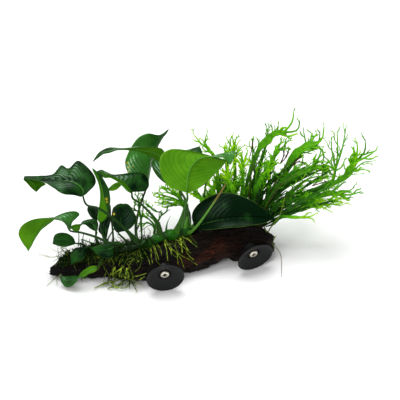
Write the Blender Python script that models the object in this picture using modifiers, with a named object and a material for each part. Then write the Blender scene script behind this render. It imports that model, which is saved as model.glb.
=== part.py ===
"""Broad-leaved anubias and lace java fern growing on a piece of driftwood with two suction cups.

The wood lies on its flat underside. The cups are screwed to its front, so that it can be pressed
onto aquarium glass. Both plants creep along the top of the wood on a rhizome of their own.

Lengths are millimetres until a mesh is made. A place is written (across, up, out), square to a
sight line that looks down by LEAN and comes from TURN degrees left of the front: across runs to
the right, up runs up and back, and out runs towards the eye. The wood's length is close to +X.
"""

import math

import bmesh
import bpy
import numpy as np
from mathutils import Matrix

# ---------------------------------------------------------------- driving dimensions
LEAN = math.radians(40.0)
TURN = math.radians(10.0)
ORIGIN = np.array((6.27, 9.06, 56.0))  # from the zero of the places to the middle of the footprint
GAP = 0.35  # left between pieces that touch

CUP_RADIUS = 19.0
CUP_DEPTH = 15.0
LIP_WIDTH = 1.5
NECK_RADIUS = 6.5
SCREW_RADIUS = 2.0
SCREW_LENGTH = 24.0
SCREW_HEAD_RADIUS = 4.6

ANUBIAS_RHIZOME_RADIUS = 4.2
NODE_SPACING = 11.0
FERN_RHIZOME_RADIUS = 3.0
ROOT_RADIUS = 0.8
STALK_RADIUS = 1.3
LEAF_THICKNESS = 0.9
LEAF_ARCH = 0.07  # how far each half of a blade bulges, as a share of its width
FROND_THICKNESS = 0.7
STIPE_WIDTH = 1.3
FAN_UPRIGHT = 0.30  # out added to a frond for each millimetre that it rises above its stem

WOOD_SIDES = 16
WOOD_STEP = 7.5  # between the rings of its mesh

# The wood's middle line: (across, up, out, radius)
WOOD = np.array([
    (-148.5, -71.0, 8.0, 3.0),
    (-146, -70.5, 8.0, 5.0),
    (-139, -68.0, 8.0, 8.0),
    (-125, -64.5, 8.5, 11.5),
    (-105, -62.5, 9.0, 13.5),
    (-85, -62.0, 10.0, 15.0),
    (-65, -62.0, 12.0, 18.0),
    (-50, -61.0, 12.0, 19.5),
    (-35, -58.0, 8.5, 19.5),
    (-15, -52.0, 0.5, 18.5),
    (0, -49.5, -2.5, 18.5),
    (15, -47.0, -6.0, 18.0),
    (35, -43.5, -10.5, 17.0),
    (50, -42.5, -11.5, 16.5),
    (62, -42.5, -13.0, 15.0),
    (69, -43.5, -12.0, 11.5),
    (73.5, -44.0, -12.0, 7.0),
])
NOTCH_ACROSS, NOTCH_TURN, NOTCH_DEPTH = 25.0, 175.0, 4.5

ANUBIAS_RHIZOME = [
    (-118, -50, 14),
    (-100, -48, 20),
    (-84, -48.5, 25.5),
    (-68, -47, 27.5),
    (-54, -43.5, 25.5),
    (-42, -38, 21),
    (-29, -34.5, 16),
    (-14, -31.5, 10),
    (-6, -30.5, 7.5),
]
FERN_RHIZOME = [(13, -27, -2.5), (26, -25, -5), (40, -23.5, -7.5), (52, -23.5, -9), (64, -25.5, -10)]

CUPS = {
    "left": dict(centre=(-34.2, -77.5, 34.9), faces=(0.142, -0.730, 0.667)),
    "right": dict(centre=(55.3, -57.5, 10.9), faces=(0.394, -0.750, 0.530)),
}

# The roots that run down the front of the wood: (across, degrees round the wood from its top)
ROOTS = [
    [(-108, 60), (-112, 85), (-113, 110), (-116, 132)],
    [(-93, 66), (-90, 82), (-92, 98), (-89, 110)],
    [(-72, 70), (-74, 84), (-71, 96), (-73, 108)],
    [(-59, 62), (-57, 84), (-60, 104), (-58, 122)],
    [(-46, 52), (-44, 74), (-46, 94), (-43, 108)],
    [(-33, 46), (-29, 66), (-27, 86), (-22, 100)],
    [(-24, 42), (-18, 58), (-14, 74), (-11, 88)],
    [(-17, 40), (-12, 54), (-8, 66), (-3, 80)],
]
# The thick bundle of roots between the wood's front and the ground: middle and half sizes
TUFT_CENTRE = (-85, -80, 19)
TUFT_HALVES = (20.0, 10.0, 9.0)

# The leaves. Each row of a blade crosses it from its left margin over the midrib to its right margin,
# as seen from its upper side with the tip away. The rows run from the stalk to the tip.
LEAVES = [
    dict(stalk=[(-60, -44, 26), (-66, -38, 31), (-72, -31, 33), (-84, -20, 35), (-100, -8.4, 36),
                (-112, -5, 36)],
         blade=[[(-118, 3, 39), (-116, 4, 38), (-113, 5.5, 36.5)],
                [(-125, 4.7, 42), (-116.5, 10.5, 38), (-103.5, 17, 30)],
                [(-134, 5.5, 44), (-120.5, 15, 38), (-108, 29, 26)],
                [(-140, 8, 44), (-127, 18, 37), (-121, 39.5, 24)],
                [(-143, 10.5, 43), (-133, 19, 36), (-130.5, 31.5, 27)],
                [(-147.5, 13.5, 42), (-140, 20, 35), (-138, 34.3, 24)],
                [(-152.5, 16.8, 41), (-149, 20.5, 34), (-146, 25.5, 28)],
                [(-160, 18.5, 38), (-161, 21, 33), (-161, 24, 27)],
                [(-174, 20.5, 33), (-174, 21.8, 30), (-174.5, 22.5, 27)],
                [(-172.5, 17.5, 31), (-166, 16.5, 27.5), (-154, 16.8, 24.5)],
                [(-167, 11.5, 30), (-164, 12, 27.5), (-158, 12.5, 25)]],
         tip=(-162.5, 8, 28)),
    dict(stalk=[(-76, -46, 27), (-82, -43, 37), (-91, -42, 40), (-102, -37, 41), (-117, -32.4, 41),
                (-127, -31, 42)],
         blade=[[(-130, -29.5, 43.5), (-129, -30, 42), (-128, -29, 40.5)],
                [(-131.2, -27, 50), (-130.5, -26.5, 42), (-126, -20.5, 38)],
                [(-133.5, -23.5, 54), (-132.5, -23, 42.5), (-119.5, -15, 35)],
                [(-137, -20.8, 55), (-136, -20, 43), (-123, -11.3, 34)],
                [(-141.5, -19.5, 55), (-140.5, -18.8, 43), (-133, -12.5, 36)],
                [(-148, -18.3, 54), (-145.5, -18.6, 43), (-144, -17.7, 37)],
                [(-164, -19.3, 50), (-152, -22, 42), (-145.5, -20.5, 36)],
                [(-176, -25, 46), (-157.5, -28, 41.5), (-152, -26, 36)],
                [(-179.7, -33.5, 43), (-161.5, -34, 41), (-158, -31, 36)],
                [(-176, -42, 42), (-165.5, -40.5, 41), (-163, -38, 37)],
                [(-171.7, -48, 41), (-168.5, -47, 40.5), (-167, -46, 39)]],
         tip=(-170, -51, 40)),
    dict(stalk=[(-90, -46, 24), (-96, -36, 24), (-98.5, -27, 25)],
         blade=[[(-98, -22, 27), (-98.5, -22.5, 26), (-97, -22, 25)],
                [(-94, -18.5, 29.5), (-100.7, -18.5, 26), (-93.5, -20, 23.5)],
                [(-92, -13, 30.5), (-100, -12.5, 26), (-91, -14.5, 22.5)],
                [(-93, -5, 31.5), (-99, -5.5, 27), (-89.7, -6, 22.5)],
                [(-95, 2.5, 33), (-98.3, 3, 28), (-89, 2, 23)],
                [(-96.5, 10, 34.5), (-98.8, 10.5, 30), (-90.5, 10.5, 25)],
                [(-98.3, 17, 36), (-100.5, 17.5, 32), (-94, 17.5, 28)],
                [(-100.5, 23, 37), (-102.8, 23.2, 34), (-98, 24.5, 30)],
                [(-103.5, 27.5, 37), (-105, 27.7, 35), (-102, 28.2, 33)]],
         tip=(-106.7, 31.7, 36)),
    dict(stalk=[(-40, -38, 20), (-41, -26, 25), (-46, -17, 28), (-58, -4.4, 32), (-66.5, 1.5, 34)],
         blade=[[(-66, 7.5, 36), (-68, 8, 34), (-64.5, 8, 32)],
                [(-69, 10.7, 38), (-72, 10, 33), (-54, 9.2, 27)],
                [(-72.5, 14.5, 38), (-75.5, 13.5, 32), (-50.4, 16.5, 25)],
                [(-76, 18.5, 37), (-79.5, 17.3, 31), (-55, 26, 24)],
                [(-81.5, 21.5, 34.5), (-83.5, 20.2, 29.5), (-70, 27, 24)],
                [(-88.5, 24, 31), (-89.5, 22.8, 28), (-85, 25.2, 24.5)],
                [(-92, 25.5, 28.5), (-94, 22.5, 26), (-92, 27.5, 23)],
                [(-98, 28, 26), (-99, 24.7, 24.5), (-98, 30.3, 22.5)]],
         tip=(-102.5, 28.5, 23.5)),
    dict(stalk=[(-62, -44, 26), (-64, -27, 17), (-61, -10, 7), (-57, 3, 0)],
         blade=[[(-56, 10.5, -2), (-54, 11, -2), (-53, 11, -3)],
                [(-66, 17, 1), (-53.5, 19, -2), (-51.7, 19, -9)],
                [(-72.5, 27.5, 1), (-52.7, 28, -3), (-49.7, 29, -13)],
                [(-75, 38, 0), (-52.2, 38, -3), (-47.7, 38, -15)],
                [(-71.7, 48, -1), (-51.2, 47, -3), (-45, 46, -15)],
                [(-67, 56, -1), (-48.5, 54, -4), (-41.5, 54, -14)],
                [(-61, 63, 0), (-44, 59, -4), (-38.5, 60, -12)],
                [(-52, 66.6, 1), (-39, 63.3, -4), (-36, 64.5, -9)],
                [(-41, 65, 0), (-35, 67.2, -4), (-33.5, 67, -6)]],
         tip=(-31.3, 71, -4)),
    dict(stalk=[(-13, -31, 9), (-14, -3, 8), (-19, 8, 8), (-27, 24, 7)],
         blade=[[(-31, 37, 9), (-32, 35, 7), (-34, 34, 5)],
                [(-37, 50.5, 14), (-40, 44.5, 8), (-42, 39, -1)],
                [(-48, 52.7, 22), (-50, 48.5, 12), (-51, 44.4, 2)],
                [(-59, 52.8, 27), (-60, 50.2, 16), (-61, 48.2, 5)],
                [(-70, 51.6, 29), (-70, 50.4, 18), (-70, 49, 7)],
                [(-80, 49.8, 30), (-80, 50.4, 18.5), (-81, 51.5, 8)],
                [(-89, 46.7, 29), (-90, 49, 19), (-91, 52.2, 10)],
                [(-96, 45.4, 26), (-98, 46.5, 19), (-99.5, 48, 13)],
                [(-101.5, 41.5, 22), (-102.5, 42.5, 20), (-103.7, 43, 17)]],
         tip=(-107, 37.5, 20)),
    dict(stalk=[(-24, -33, 14), (-20, -22, 25), (-15, -7, 36), (-12.5, 1, 41)],
         blade=[[(-11, 7.4, 42), (-12.7, 7.5, 42), (-15, 7.5, 42)],
                [(-5, 9.5, 42), (-13, 16, 43), (-30, 13.5, 41)],
                [(2, 13.5, 41), (-11.7, 25, 43), (-39, 26, 39)],
                [(8, 18.5, 40), (-8.5, 33, 42.5), (-39.5, 42, 37)],
                [(13, 23.7, 40), (-3, 39.2, 42), (-30, 50.1, 36)],
                [(18, 28.7, 40.5), (4, 42.3, 42), (-12, 49.3, 37)],
                [(22, 33, 41.5), (13, 42.7, 43), (5, 45.5, 39.5)],
                [(25, 36.5, 43), (20, 41, 44), (16, 42, 42)]],
         tip=(26.8, 39, 45)),
    dict(stalk=[(-20, -33, 10), (-15, -15, 0), (-17.5, -3, -4)],
         blade=[[(-23, 9.5, -5), (-21, 9, -5), (-19, 9, -5)],
                [(-36, 17.5, -5), (-24, 16, -6), (-13, 14, -5)],
                [(-44, 25, -6), (-25.5, 24, -7), (-6, 23, -5.5)],
                [(-48.5, 35, -7), (-25, 32, -8), (-2, 32, -6.5)],
                [(-44.5, 43, -8), (-21, 39.5, -9), (1, 40, -7.5)],
                [(-32, 48.5, -9), (-14, 45.5, -10), (2.5, 45.5, -8.5)],
                [(-16, 49.7, -9.5), (-7, 49.5, -10), (2, 49, -9)],
                [(-6.5, 52, -10), (-2.5, 52, -10), (1, 51.5, -9.5)]],
         tip=(-0.5, 54, -10)),
    dict(stalk=[(-8, -30.5, 8), (0, -12, 5), (5, 10, 8), (7, 30, 11)],
         blade=[[(9, 42.4, 11), (9.5, 42, 12), (10, 41.4, 13)],
                [(15, 44.5, 7), (15, 43.5, 13), (16, 42, 20)],
                [(21, 46, 5), (21, 44.7, 13.5), (23, 41.8, 24)],
                [(27, 47.2, 5), (27, 45.4, 13.5), (30, 35, 22)],
                [(32.5, 48.5, 8), (32, 46.4, 12.5), (33.5, 42, 19)]],
         tip=(37, 47.5, 11)),
    dict(stalk=[(-7, -30.5, 8), (-6.5, -29.5, 11)],
         blade=[[(-5.5, -26.5, 12.5), (-4.5, -28.5, 13), (-3, -29.8, 14)],
                [(-8.2, -16, 14), (1, -25, 16), (3, -29.7, 21)],
                [(-3, -5.5, 14), (8.5, -22.5, 18), (12, -29.3, 25)],
                [(11, 4.7, 17), (18, -20.5, 19), (23, -28.2, 28)],
                [(27, 7.6, 19), (29, -19, 19), (35, -27, 29)],
                [(43, 3.5, 18), (41, -18, 18), (46, -26, 28)],
                [(56, -3, 15), (52.5, -17.5, 16), (56, -24.7, 25)],
                [(66, -11, 12.5), (63, -17.5, 13.5), (64.5, -22.8, 18)]],
         tip=(73.8, -18, 10)),
    dict(stalk=[(-68, -46, 27), (-75, -39, 26.5)],
         blade=[[(-83, -32.4, 26), (-81.5, -32.3, 26), (-80, -32, 26)],
                [(-85.7, -27.5, 27), (-80.5, -27, 25.5), (-70, -29, 28)],
                [(-87.7, -19, 27), (-79.2, -20.5, 25), (-62.8, -20, 28)],
                [(-87, -9.3, 26.5), (-78, -13.5, 24.5), (-65.5, -11.8, 27)],
                [(-83.5, -5.2, 25), (-77.2, -8, 24), (-69.5, -5.8, 25.5)],
                [(-79.7, -3.4, 24), (-76.7, -5.3, 23.5), (-73, -3.6, 24)]],
         tip=(-76.3, -3.9, 23)),
    dict(stalk=[(-98, -48, 21), (-103, -38, 20), (-103.5, -28, 21)],
         blade=[[(-103.5, -20.8, 21.5), (-102.5, -20.5, 22), (-101.5, -19.5, 22)],
                [(-108.5, -17, 22.5), (-104, -16.5, 22), (-100.7, -13.5, 23)],
                [(-111.8, -11.5, 23), (-106, -12.5, 22), (-100.5, -8, 23)],
                [(-112, -8, 23), (-108, -9, 22.5), (-105, -6.3, 23)]],
         tip=(-110.5, -5.3, 22.5)),
    dict(stalk=[(-100, -48, 20), (-103.5, -38, 28)],
         blade=[[(-104, -31, 32), (-102.5, -31, 31), (-101.5, -29.5, 30)],
                [(-109, -28.5, 34), (-105, -26, 31.5), (-101, -23, 29)],
                [(-113, -25, 35), (-108.5, -22.5, 32), (-105, -18.8, 29)],
                [(-115.5, -24.3, 37), (-113.5, -22.2, 33), (-113, -19.6, 29)],
                [(-116.5, -24, 38.5), (-116.5, -23.3, 33.5), (-117.5, -22.3, 29)],
                [(-122, -23.8, 37), (-120.5, -26.5, 34), (-119.5, -29.8, 31)],
                [(-126, -24.8, 36), (-124.5, -27.5, 34), (-124, -31, 32)]],
         tip=(-129, -27.5, 34)),
    dict(stalk=[(-112, -49, 16), (-117, -44, 23)],
         blade=[[(-124.5, -44, 28), (-124, -43, 27), (-124, -41.5, 26)],
                [(-128.5, -45.3, 31), (-128.5, -41, 29), (-126.5, -36.3, 26)],
                [(-134.5, -46.8, 33), (-134, -39.8, 30), (-132.5, -33, 26)],
                [(-140, -45.8, 33), (-139, -39.8, 31), (-139.5, -32.3, 27)],
                [(-143.5, -44.6, 32), (-143, -41, 31), (-144.7, -35.5, 29)]],
         tip=(-146.2, -43.5, 31)),
    dict(stalk=[(-107, -49, 18), (-110, -47, 25)],
         blade=[[(-113.5, -48.5, 29), (-114.5, -47.5, 29), (-116, -47, 29.5)],
                [(-113, -54.5, 30), (-117.5, -50.5, 30.5), (-123, -47.3, 30)],
                [(-116, -59, 30), (-120.5, -53.5, 31), (-127.2, -51, 30)],
                [(-121, -61.3, 30), (-123.5, -57, 31), (-128.5, -56, 30)],
                [(-124.5, -62, 30), (-125.7, -61, 30.5), (-128, -60.5, 30)]],
         tip=(-127.7, -64.5, 30)),
    dict(stalk=[(-81, -49, 26), (-83.5, -47.5, 30)],
         blade=[[(-85.5, -48.5, 31.5), (-86, -46.5, 31), (-87, -45, 30)],
                [(-86.5, -56, 33), (-90, -48, 32), (-91, -42.8, 30)],
                [(-93, -57.8, 33), (-95.5, -48.8, 32.5), (-97, -43.3, 30.5)],
                [(-100, -55.3, 32.5), (-101.5, -48.8, 32.5), (-102.5, -45.3, 31)],
                [(-104.5, -52, 32), (-105, -48.3, 32), (-105.5, -46.3, 31)]],
         tip=(-109, -47, 31)),
    dict(stalk=[(-94, -49, 22), (-96, -56, 29), (-99, -62, 31)],
         blade=[[(-103, -65.3, 32), (-102, -66.5, 31), (-101.7, -68, 30)],
                [(-108.5, -65.6, 32), (-107, -68.5, 30), (-105, -71.5, 28)],
                [(-115, -69.5, 33), (-112.5, -71.5, 28.5), (-110.5, -73.5, 26)],
                [(-119.5, -74.2, 32), (-118, -75.3, 27), (-116.5, -77, 24)],
                [(-122, -80.5, 30), (-122.5, -77.7, 26), (-124.5, -75, 22)],
                [(-127, -85.3, 26), (-127.5, -79, 24.5), (-130, -75.4, 21)],
                [(-133, -87, 22), (-132.5, -79.5, 23), (-135, -75.6, 20.5)],
                [(-137.5, -82.5, 21.5), (-136.5, -79, 22), (-137.5, -76, 21)]],
         tip=(-139.5, -77.5, 21)),
    dict(stalk=[(-86, -47, 25), (-87, -30, 16), (-90, -10, 14), (-92.5, 3, 18)],
         blade=[[(-91.2, 11.5, 20), (-91, 10, 21), (-90, 9, 21)],
                [(-88, 14.7, 20), (-88, 12, 21), (-86.5, 9, 21)],
                [(-83.5, 17.4, 20), (-84.2, 13.7, 21), (-82.5, 10.5, 21)],
                [(-80.5, 17.2, 20), (-81, 14.8, 21), (-79.7, 13, 21)]],
         tip=(-77.5, 15.7, 20)),
    dict(stalk=[(-94, -48, 20)],
         blade=[[(-94.5, -37.5, 19), (-93.5, -37.5, 19), (-92.5, -37, 19)],
                [(-101, -31, 20), (-94, -31.5, 20), (-91, -29, 20)],
                [(-100, -23, 19), (-93.2, -24.5, 19), (-89, -21.5, 19)],
                [(-98, -15, 18.5), (-91.5, -17, 18.5), (-88.5, -14, 18.5)],
                [(-94, -9, 18.5), (-90, -10.5, 18.5), (-88.5, -9, 18.5)]],
         tip=(-89, -5, 18.5)),
]
# Bare stalk whose blade has rotted off, and a thin young shoot of the fern
BARE_STALK = [(-12, -33, 10), (-8, -31, 21), (0, -22, 31), (10, -8, 37), (22, 10, 38), (26, 17, 37)]
SHOOT = [(64, -26, -9), (67, -32, 4), (71, -27, 10), (79, -16, 20), (82, -6, 24), (84.5, 2, 24)]

# The fern's fronds: the blade's middle line, its width, and the tips that it forks into
FRONDS = [
    dict(line=[(48, -23, -8), (49, 5, -5), (51, 27, 0), (57, 47, 4), (66, 60, 6), (77, 67, 8), (86, 66, 8)],
         width=9, tips=[[(91, 77, 9), (93, 90, 8)], [(96, 69, 10), (99, 80, 10)]]),
    dict(line=[(56, -23, -9), (66, 0, -6), (78, 22, 0), (90, 40, 4), (98, 48, 6), (108, 53, 8), (117, 54, 9)],
         width=11, tips=[[(121, 61, 10), (123, 75, 10)], [(122, 48, 10), (122.5, 38, 11)]]),
    dict(line=[(58, -24, -12), (76, 10, -18), (94, 38, -22), (108, 54, -24)],
         width=7, tips=[[(105, 61, -24), (103, 70, -24)], [(113, 61, -25), (110, 69, -26)],
                        [(118, 58, -24), (120, 70, -22)]]),
    dict(line=[(62, -24, -10), (85, -6, 2), (110, 9, 9), (128, 17, 12), (142, 21, 14), (151, 33, 15),
               (155, 40, 15)],
         width=9, tips=[[(156, 50, 15), (155, 60, 14)], [(163, 48, 16), (163.5, 61, 16)],
                        [(167, 44, 17), (176, 51, 18)]]),
    dict(line=[(62, -25, -12), (95, 2, -16), (120, 13, -22), (133, 20, -25), (136, 33, -27)],
         width=7, tips=[[(132, 50, -28), (131, 64, -28)], [(138, 48, -30), (137, 71, -30)],
                        [(142, 50, -27), (146, 72, -27)]]),
    dict(line=[(62, -25.5, -7), (80, -13, 9), (104, 1, 24), (128, 14, 32), (146, 26, 36), (155, 31, 37)],
         width=6, tips=[[(161, 37, 38), (170, 38, 38)], [(161, 30, 38), (167, 29, 39)]]),
    dict(line=[(63, -26, -9), (90, -12, 0), (112, 0, 4), (122, 4, 6), (136, 8, 8)],
         width=8, tips=[[(146, 8, 9), (154, 13, 10)], [(148, 5, 8), (162, 9, 8)],
                        [(143, 3, 8), (150, 1, 8)]]),
    dict(line=[(64, -26, -11), (90, -13, -16), (118, -1, -20), (133, 0, -22)],
         width=4, tips=[[(142, 1, -23), (149, 2, -24)], [(142, -2, -23), (147, -4, -24)]]),
    dict(line=[(66, -26.5, -9), (73, -24, 0), (81, -17, 5), (92, -17, 7), (105, -17.5, 9)],
         width=3.5, tips=[[(111, -16, 10), (116, -13, 11)], [(110, -18, 10), (114, -20, 10)]]),
    dict(line=[(61, -24.5, -12), (80, -13, -10), (100, -9, -9), (117, -6, -8)],
         width=5, tips=[[(125, -3, -8), (131, -2, -8)], [(128, -5, -8), (139, -3.5, -8)]]),
    dict(line=[(59.5, -24.5, -7), (78, -6, 10), (95, 0, 18), (108, 2, 21)],
         width=9, tips=[[(114, 4, 22), (120, 9, 22)], [(113, -3, 22), (118, -9, 22)]]),
    dict(line=[(59, -24, -11), (78, 8, -8), (98, 24, -8), (112, 31, -9), (123, 34, -10)],
         width=9, tips=[[(129, 34, -11), (134, 29, -12)], [(128, 31, -10), (131, 24, -10)]]),
    dict(line=[(57, -24, -8), (76, 10, 10), (93, 24, 18), (108, 30, 22), (114, 37, 23)],
         width=8, tips=[[(118, 43, 24), (120, 52, 24)], [(119, 38, 24), (124, 33, 24)]]),
    dict(line=[(60, -24, -8), (86, 3, 6), (105, 20, 8)],
         width=7, tips=[[(114, 23, 8), (126, 23, 8)], [(113, 19, 8), (122, 18, 8)]]),
    dict(line=[(54, -24, -11), (62, 10, -12), (71, 36, -13), (78, 50, -14)],
         width=8, tips=[[(80, 56, -15), (82, 62, -16)], [(84, 54, -15), (89, 61, -16)]]),
    dict(line=[(50, -24, -12), (54, 10, -22), (62, 42, -28), (68, 60, -30)],
         width=5, tips=[[(68, 66, -30), (66, 76, -31)], [(72, 67, -30), (72, 75, -31)],
                        [(76, 66, -30), (79, 76, -31)]]),
    dict(line=[(44, -24, -11), (46, 10, -18), (52, 38, -24)],
         width=5, tips=[[(53, 50, -26), (52, 61, -27)], [(57, 48, -25), (59.5, 62, -25)]]),
    dict(line=[(40, -23, -8), (42, 0, -4), (43, 20, 0), (42, 33, 2)],
         width=7, tips=[[(37, 40, 3), (34, 43, 4)], [(42, 42, 4), (41, 47, 6)], [(45, 42, 2), (48, 50, 0)]]),
    dict(line=[(36, -23, -6), (34, 0, 2), (31, 14, 8), (28, 22, 12)],
         width=7, tips=[[(24, 28, 14), (21, 33, 16)], [(27, 31, 14), (26, 38, 15)],
                        [(31, 30, 13), (34, 37, 13)]]),
    dict(line=[(28, -24, -8), (27, 10, -16), (27, 34, -22), (28, 47, -24)],
         width=6, tips=[[(24, 51, -25), (21.5, 54, -26)], [(27, 53, -25), (27, 57, -26)],
                        [(30, 55, -24), (31, 64, -24)]]),
    dict(line=[(34, -24, -9), (35, 10, -18), (35, 34, -25), (34.5, 47, -27)],
         width=6, tips=[[(33.5, 54, -28), (33, 62, -29)], [(35, 56, -27), (37, 65, -27)],
                        [(39, 50, -27), (43, 54, -27)]]),
    dict(line=[(19, -25, -7), (18, 10, -20), (17, 34, -30), (13, 46, -33), (7, 51, -34)],
         width=5, tips=[[(0, 58, -35), (-7.5, 67, -36)], [(5, 58, -34), (7.5, 68, -34)]]),
    dict(line=[(16, -25.5, -5), (14, 0, -12), (13, 12, -18)],
         width=8, tips=[[(8, 17, -20), (4, 19, -21)], [(15, 20, -20), (18, 26, -22)]]),
    dict(line=[(20, -25, -3), (13, -10, 4), (2, 0, 3), (-5, 5, 2)],
         width=6, tips=[[(-9, 7, 2), (-13, 7, 1)], [(-7, 10, 2), (-9, 14, 2)]]),
    dict(line=[(52, -24, -10), (57, 12, -4), (67, 31, -2)],
         width=9, tips=[[(70, 38, -2), (71, 45, -2)], [(73, 35, -2), (79, 38, -2)]]),
    dict(line=[(58, -25, -12), (74, 6, -24), (88, 23, -34), (97, 29, -38)],
         width=8, tips=[[(101, 34, -40), (104, 40, -42)], [(104, 29, -40), (110, 28, -42)]]),
    dict(line=[(38, -25, -11), (42, -6, -32), (48, 8, -46)],
         width=8, tips=[[(49, 14, -52), (48, 20, -57)], [(53, 12, -51), (58, 17, -56)]]),
    dict(line=[(60, -26, -12), (78, -10, -32), (96, -1, -46)],
         width=8, tips=[[(102, 4, -50), (107, 9, -54)], [(104, -1, -50), (112, 0, -54)]]),
]


# ---------------------------------------------------------------- places and curves
RIGHT = np.array((math.cos(TURN), -math.sin(TURN), 0.0))
OUT = np.array((-math.sin(TURN) * math.cos(LEAN), -math.cos(TURN) * math.cos(LEAN), math.sin(LEAN)))
UP = np.cross(OUT, RIGHT)
EYE = np.array((0.0, 0.0, 1.0))  # the out direction, as a place


def to_world(points):
    """Places in millimetres, turned and leant into world metres."""
    return (np.asarray(points, float) @ np.array((RIGHT, UP, OUT)) + ORIGIN) / 1000.0


def smooth(points, per_span=12):
    """Catmull-Rom curve through the points, sampled per_span times between each two."""
    p = np.asarray(points, float)
    padded = np.vstack((2 * p[0] - p[1], p, 2 * p[-1] - p[-2]))
    t = (np.arange(per_span) / per_span)[:, None]
    spans = []
    for a, b, c, d in zip(padded, padded[1:], padded[2:], padded[3:]):
        spans.append(0.5 * (2 * b + (c - a) * t + (2 * a - 5 * b + 4 * c - d) * t**2
                            + (3 * b - a - 3 * c + d) * t**3))
    return np.vstack(spans + [p[-1:]])


def along(curve, fractions):
    """Points and unit tangents at fractions of a curve's length."""
    steps = np.linalg.norm(np.diff(curve, axis=0), axis=1)
    length = np.concatenate(([0.0], np.cumsum(steps))) / steps.sum()
    slope = np.gradient(curve, axis=0)
    at = np.stack([np.interp(fractions, length, column) for column in curve.T], 1)
    tangent = np.stack([np.interp(fractions, length, column) for column in slope.T], 1)
    return at, tangent / np.linalg.norm(tangent, axis=1)[:, None]


def clear_of(curve, core, distance):
    """The curve from where it first stays further than distance from the core line."""
    near = np.linalg.norm(curve[:, None] - smooth(core)[None], axis=2).min(axis=1) < distance
    first = np.flatnonzero(near)[-1] + 1 if near.any() else 0
    return curve[first:]


def unit(vector):
    return vector / np.linalg.norm(vector)


# ---------------------------------------------------------------- materials and objects
def material(name, colour, roughness, metallic=0.0):
    made = bpy.data.materials.new(name)
    made.use_nodes = True
    shader = made.node_tree.nodes["Principled BSDF"]
    shader.inputs["Base Color"].default_value = (*colour, 1.0)
    shader.inputs["Roughness"].default_value = roughness
    shader.inputs["Metallic"].default_value = metallic
    return made


def add(name, mesh, collection, finish=None):
    """An object for the mesh, in its collection and its material."""
    piece = bpy.data.objects.new(name, mesh)
    collection.objects.link(piece)
    if finish is not None:
        mesh.materials.append(finish)
        mesh.shade_smooth()
        mesh.set_sharp_from_angle(angle=math.radians(40))
    else:
        piece.hide_render = True
        piece.display_type = "WIRE"
    return piece


def mesh_of_rings(name, rings):
    """Closed mesh over rings of places, each ring turning anticlockwise about the way they go."""
    rings = np.asarray(rings)
    count, sides = rings.shape[:2]
    shape = bmesh.new()
    verts = [shape.verts.new(place) for place in to_world(rings.reshape(-1, 3))]
    for i in range(count - 1):
        for j in range(sides):
            a, b = i * sides + j, i * sides + (j + 1) % sides
            shape.faces.new((verts[a], verts[b], verts[b + sides], verts[a + sides]))
    shape.faces.new(verts[:sides][::-1])
    shape.faces.new(verts[-sides:])
    mesh = bpy.data.meshes.new(name)
    shape.to_mesh(mesh)
    shape.free()
    return mesh


def tube(name, points, radii, collection, finish=None, resolution=2):
    """Round bar through the places: a bevelled curve, made a mesh with its caps welded on."""
    curve = bpy.data.curves.new(name, "CURVE")
    curve.dimensions = "3D"
    curve.bevel_depth = 0.001
    curve.bevel_resolution = resolution
    curve.use_fill_caps = True
    spline = curve.splines.new("POLY")
    spline.points.add(len(points) - 1)
    for point, place, radius in zip(spline.points, to_world(points), radii):
        point.co = (*place, 1.0)
        point.radius = radius
    drawn = bpy.data.objects.new(name + "_line", curve)
    collection.objects.link(drawn)
    evaluated = drawn.evaluated_get(bpy.context.evaluated_depsgraph_get())
    mesh = bpy.data.meshes.new_from_object(evaluated)
    welded = bmesh.new()
    welded.from_mesh(mesh)
    bmesh.ops.remove_doubles(welded, verts=welded.verts, dist=0.00001)
    bmesh.ops.recalc_face_normals(welded, faces=welded.faces)
    welded.to_mesh(mesh)
    welded.free()
    bpy.data.objects.remove(drawn)
    mesh.name = name
    return add(name, mesh, collection, finish)


def boolean(piece, other, operation="DIFFERENCE"):
    cut = piece.modifiers.new(operation.title() + " " + other.name, "BOOLEAN")
    cut.operation = operation
    cut.solver = "EXACT"
    cut.object = other


# ---------------------------------------------------------------- the driftwood
def wood_place(across, turn, clearance=0.0):
    """Place on the wood's skin at a turn in radians from its top, lifted by the clearance."""
    line = smooth(WOOD)
    up, out, radius = (np.interp(across, line[:, 0], line[:, i]) for i in (1, 2, 3))
    lumps = (0.045 * np.sin(3 * turn + across / 13.0) + 0.035 * np.sin(2 * turn - across / 8.0 + 1.3)
             + 0.025 * np.sin(5 * turn + across / 5.5))
    bite = np.exp(-((across - NOTCH_ACROSS) / 7.0) ** 2 - ((turn - math.radians(NOTCH_TURN)) / 0.5) ** 2)
    reach = radius * (1 + lumps) - NOTCH_DEPTH * bite + clearance
    return np.stack((across + 0 * turn, up + reach * np.cos(turn), out + reach * np.sin(turn)), -1)


def wood_mesh(name, clearance=0.0):
    """Loft over the wood's rings; its two ends are ragged."""
    first, last = WOOD[0, 0], WOOD[-1, 0]
    count = int(round((last - first) / WOOD_STEP))
    share = np.linspace(0, 1, count + 1)
    share -= 0.018 * np.sin(2 * math.pi * share)  # the rings lie closer together at the two ends
    turn = np.linspace(0, 2 * math.pi, WOOD_SIDES, endpoint=False)
    rings = []
    for s in share:
        across = first + (last - first) * s
        ring = wood_place(np.full(WOOD_SIDES, across), turn, clearance)
        ragged = 2.2 * np.sin(3 * turn + 0.6) + 1.4 * np.sin(5 * turn)
        ring[:, 0] += ragged * (np.exp(-s * 30) + np.exp(-(1 - s) * 30)) + clearance * (2 * s - 1)
        rings.append(ring)
    return mesh_of_rings(name, rings)


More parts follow.
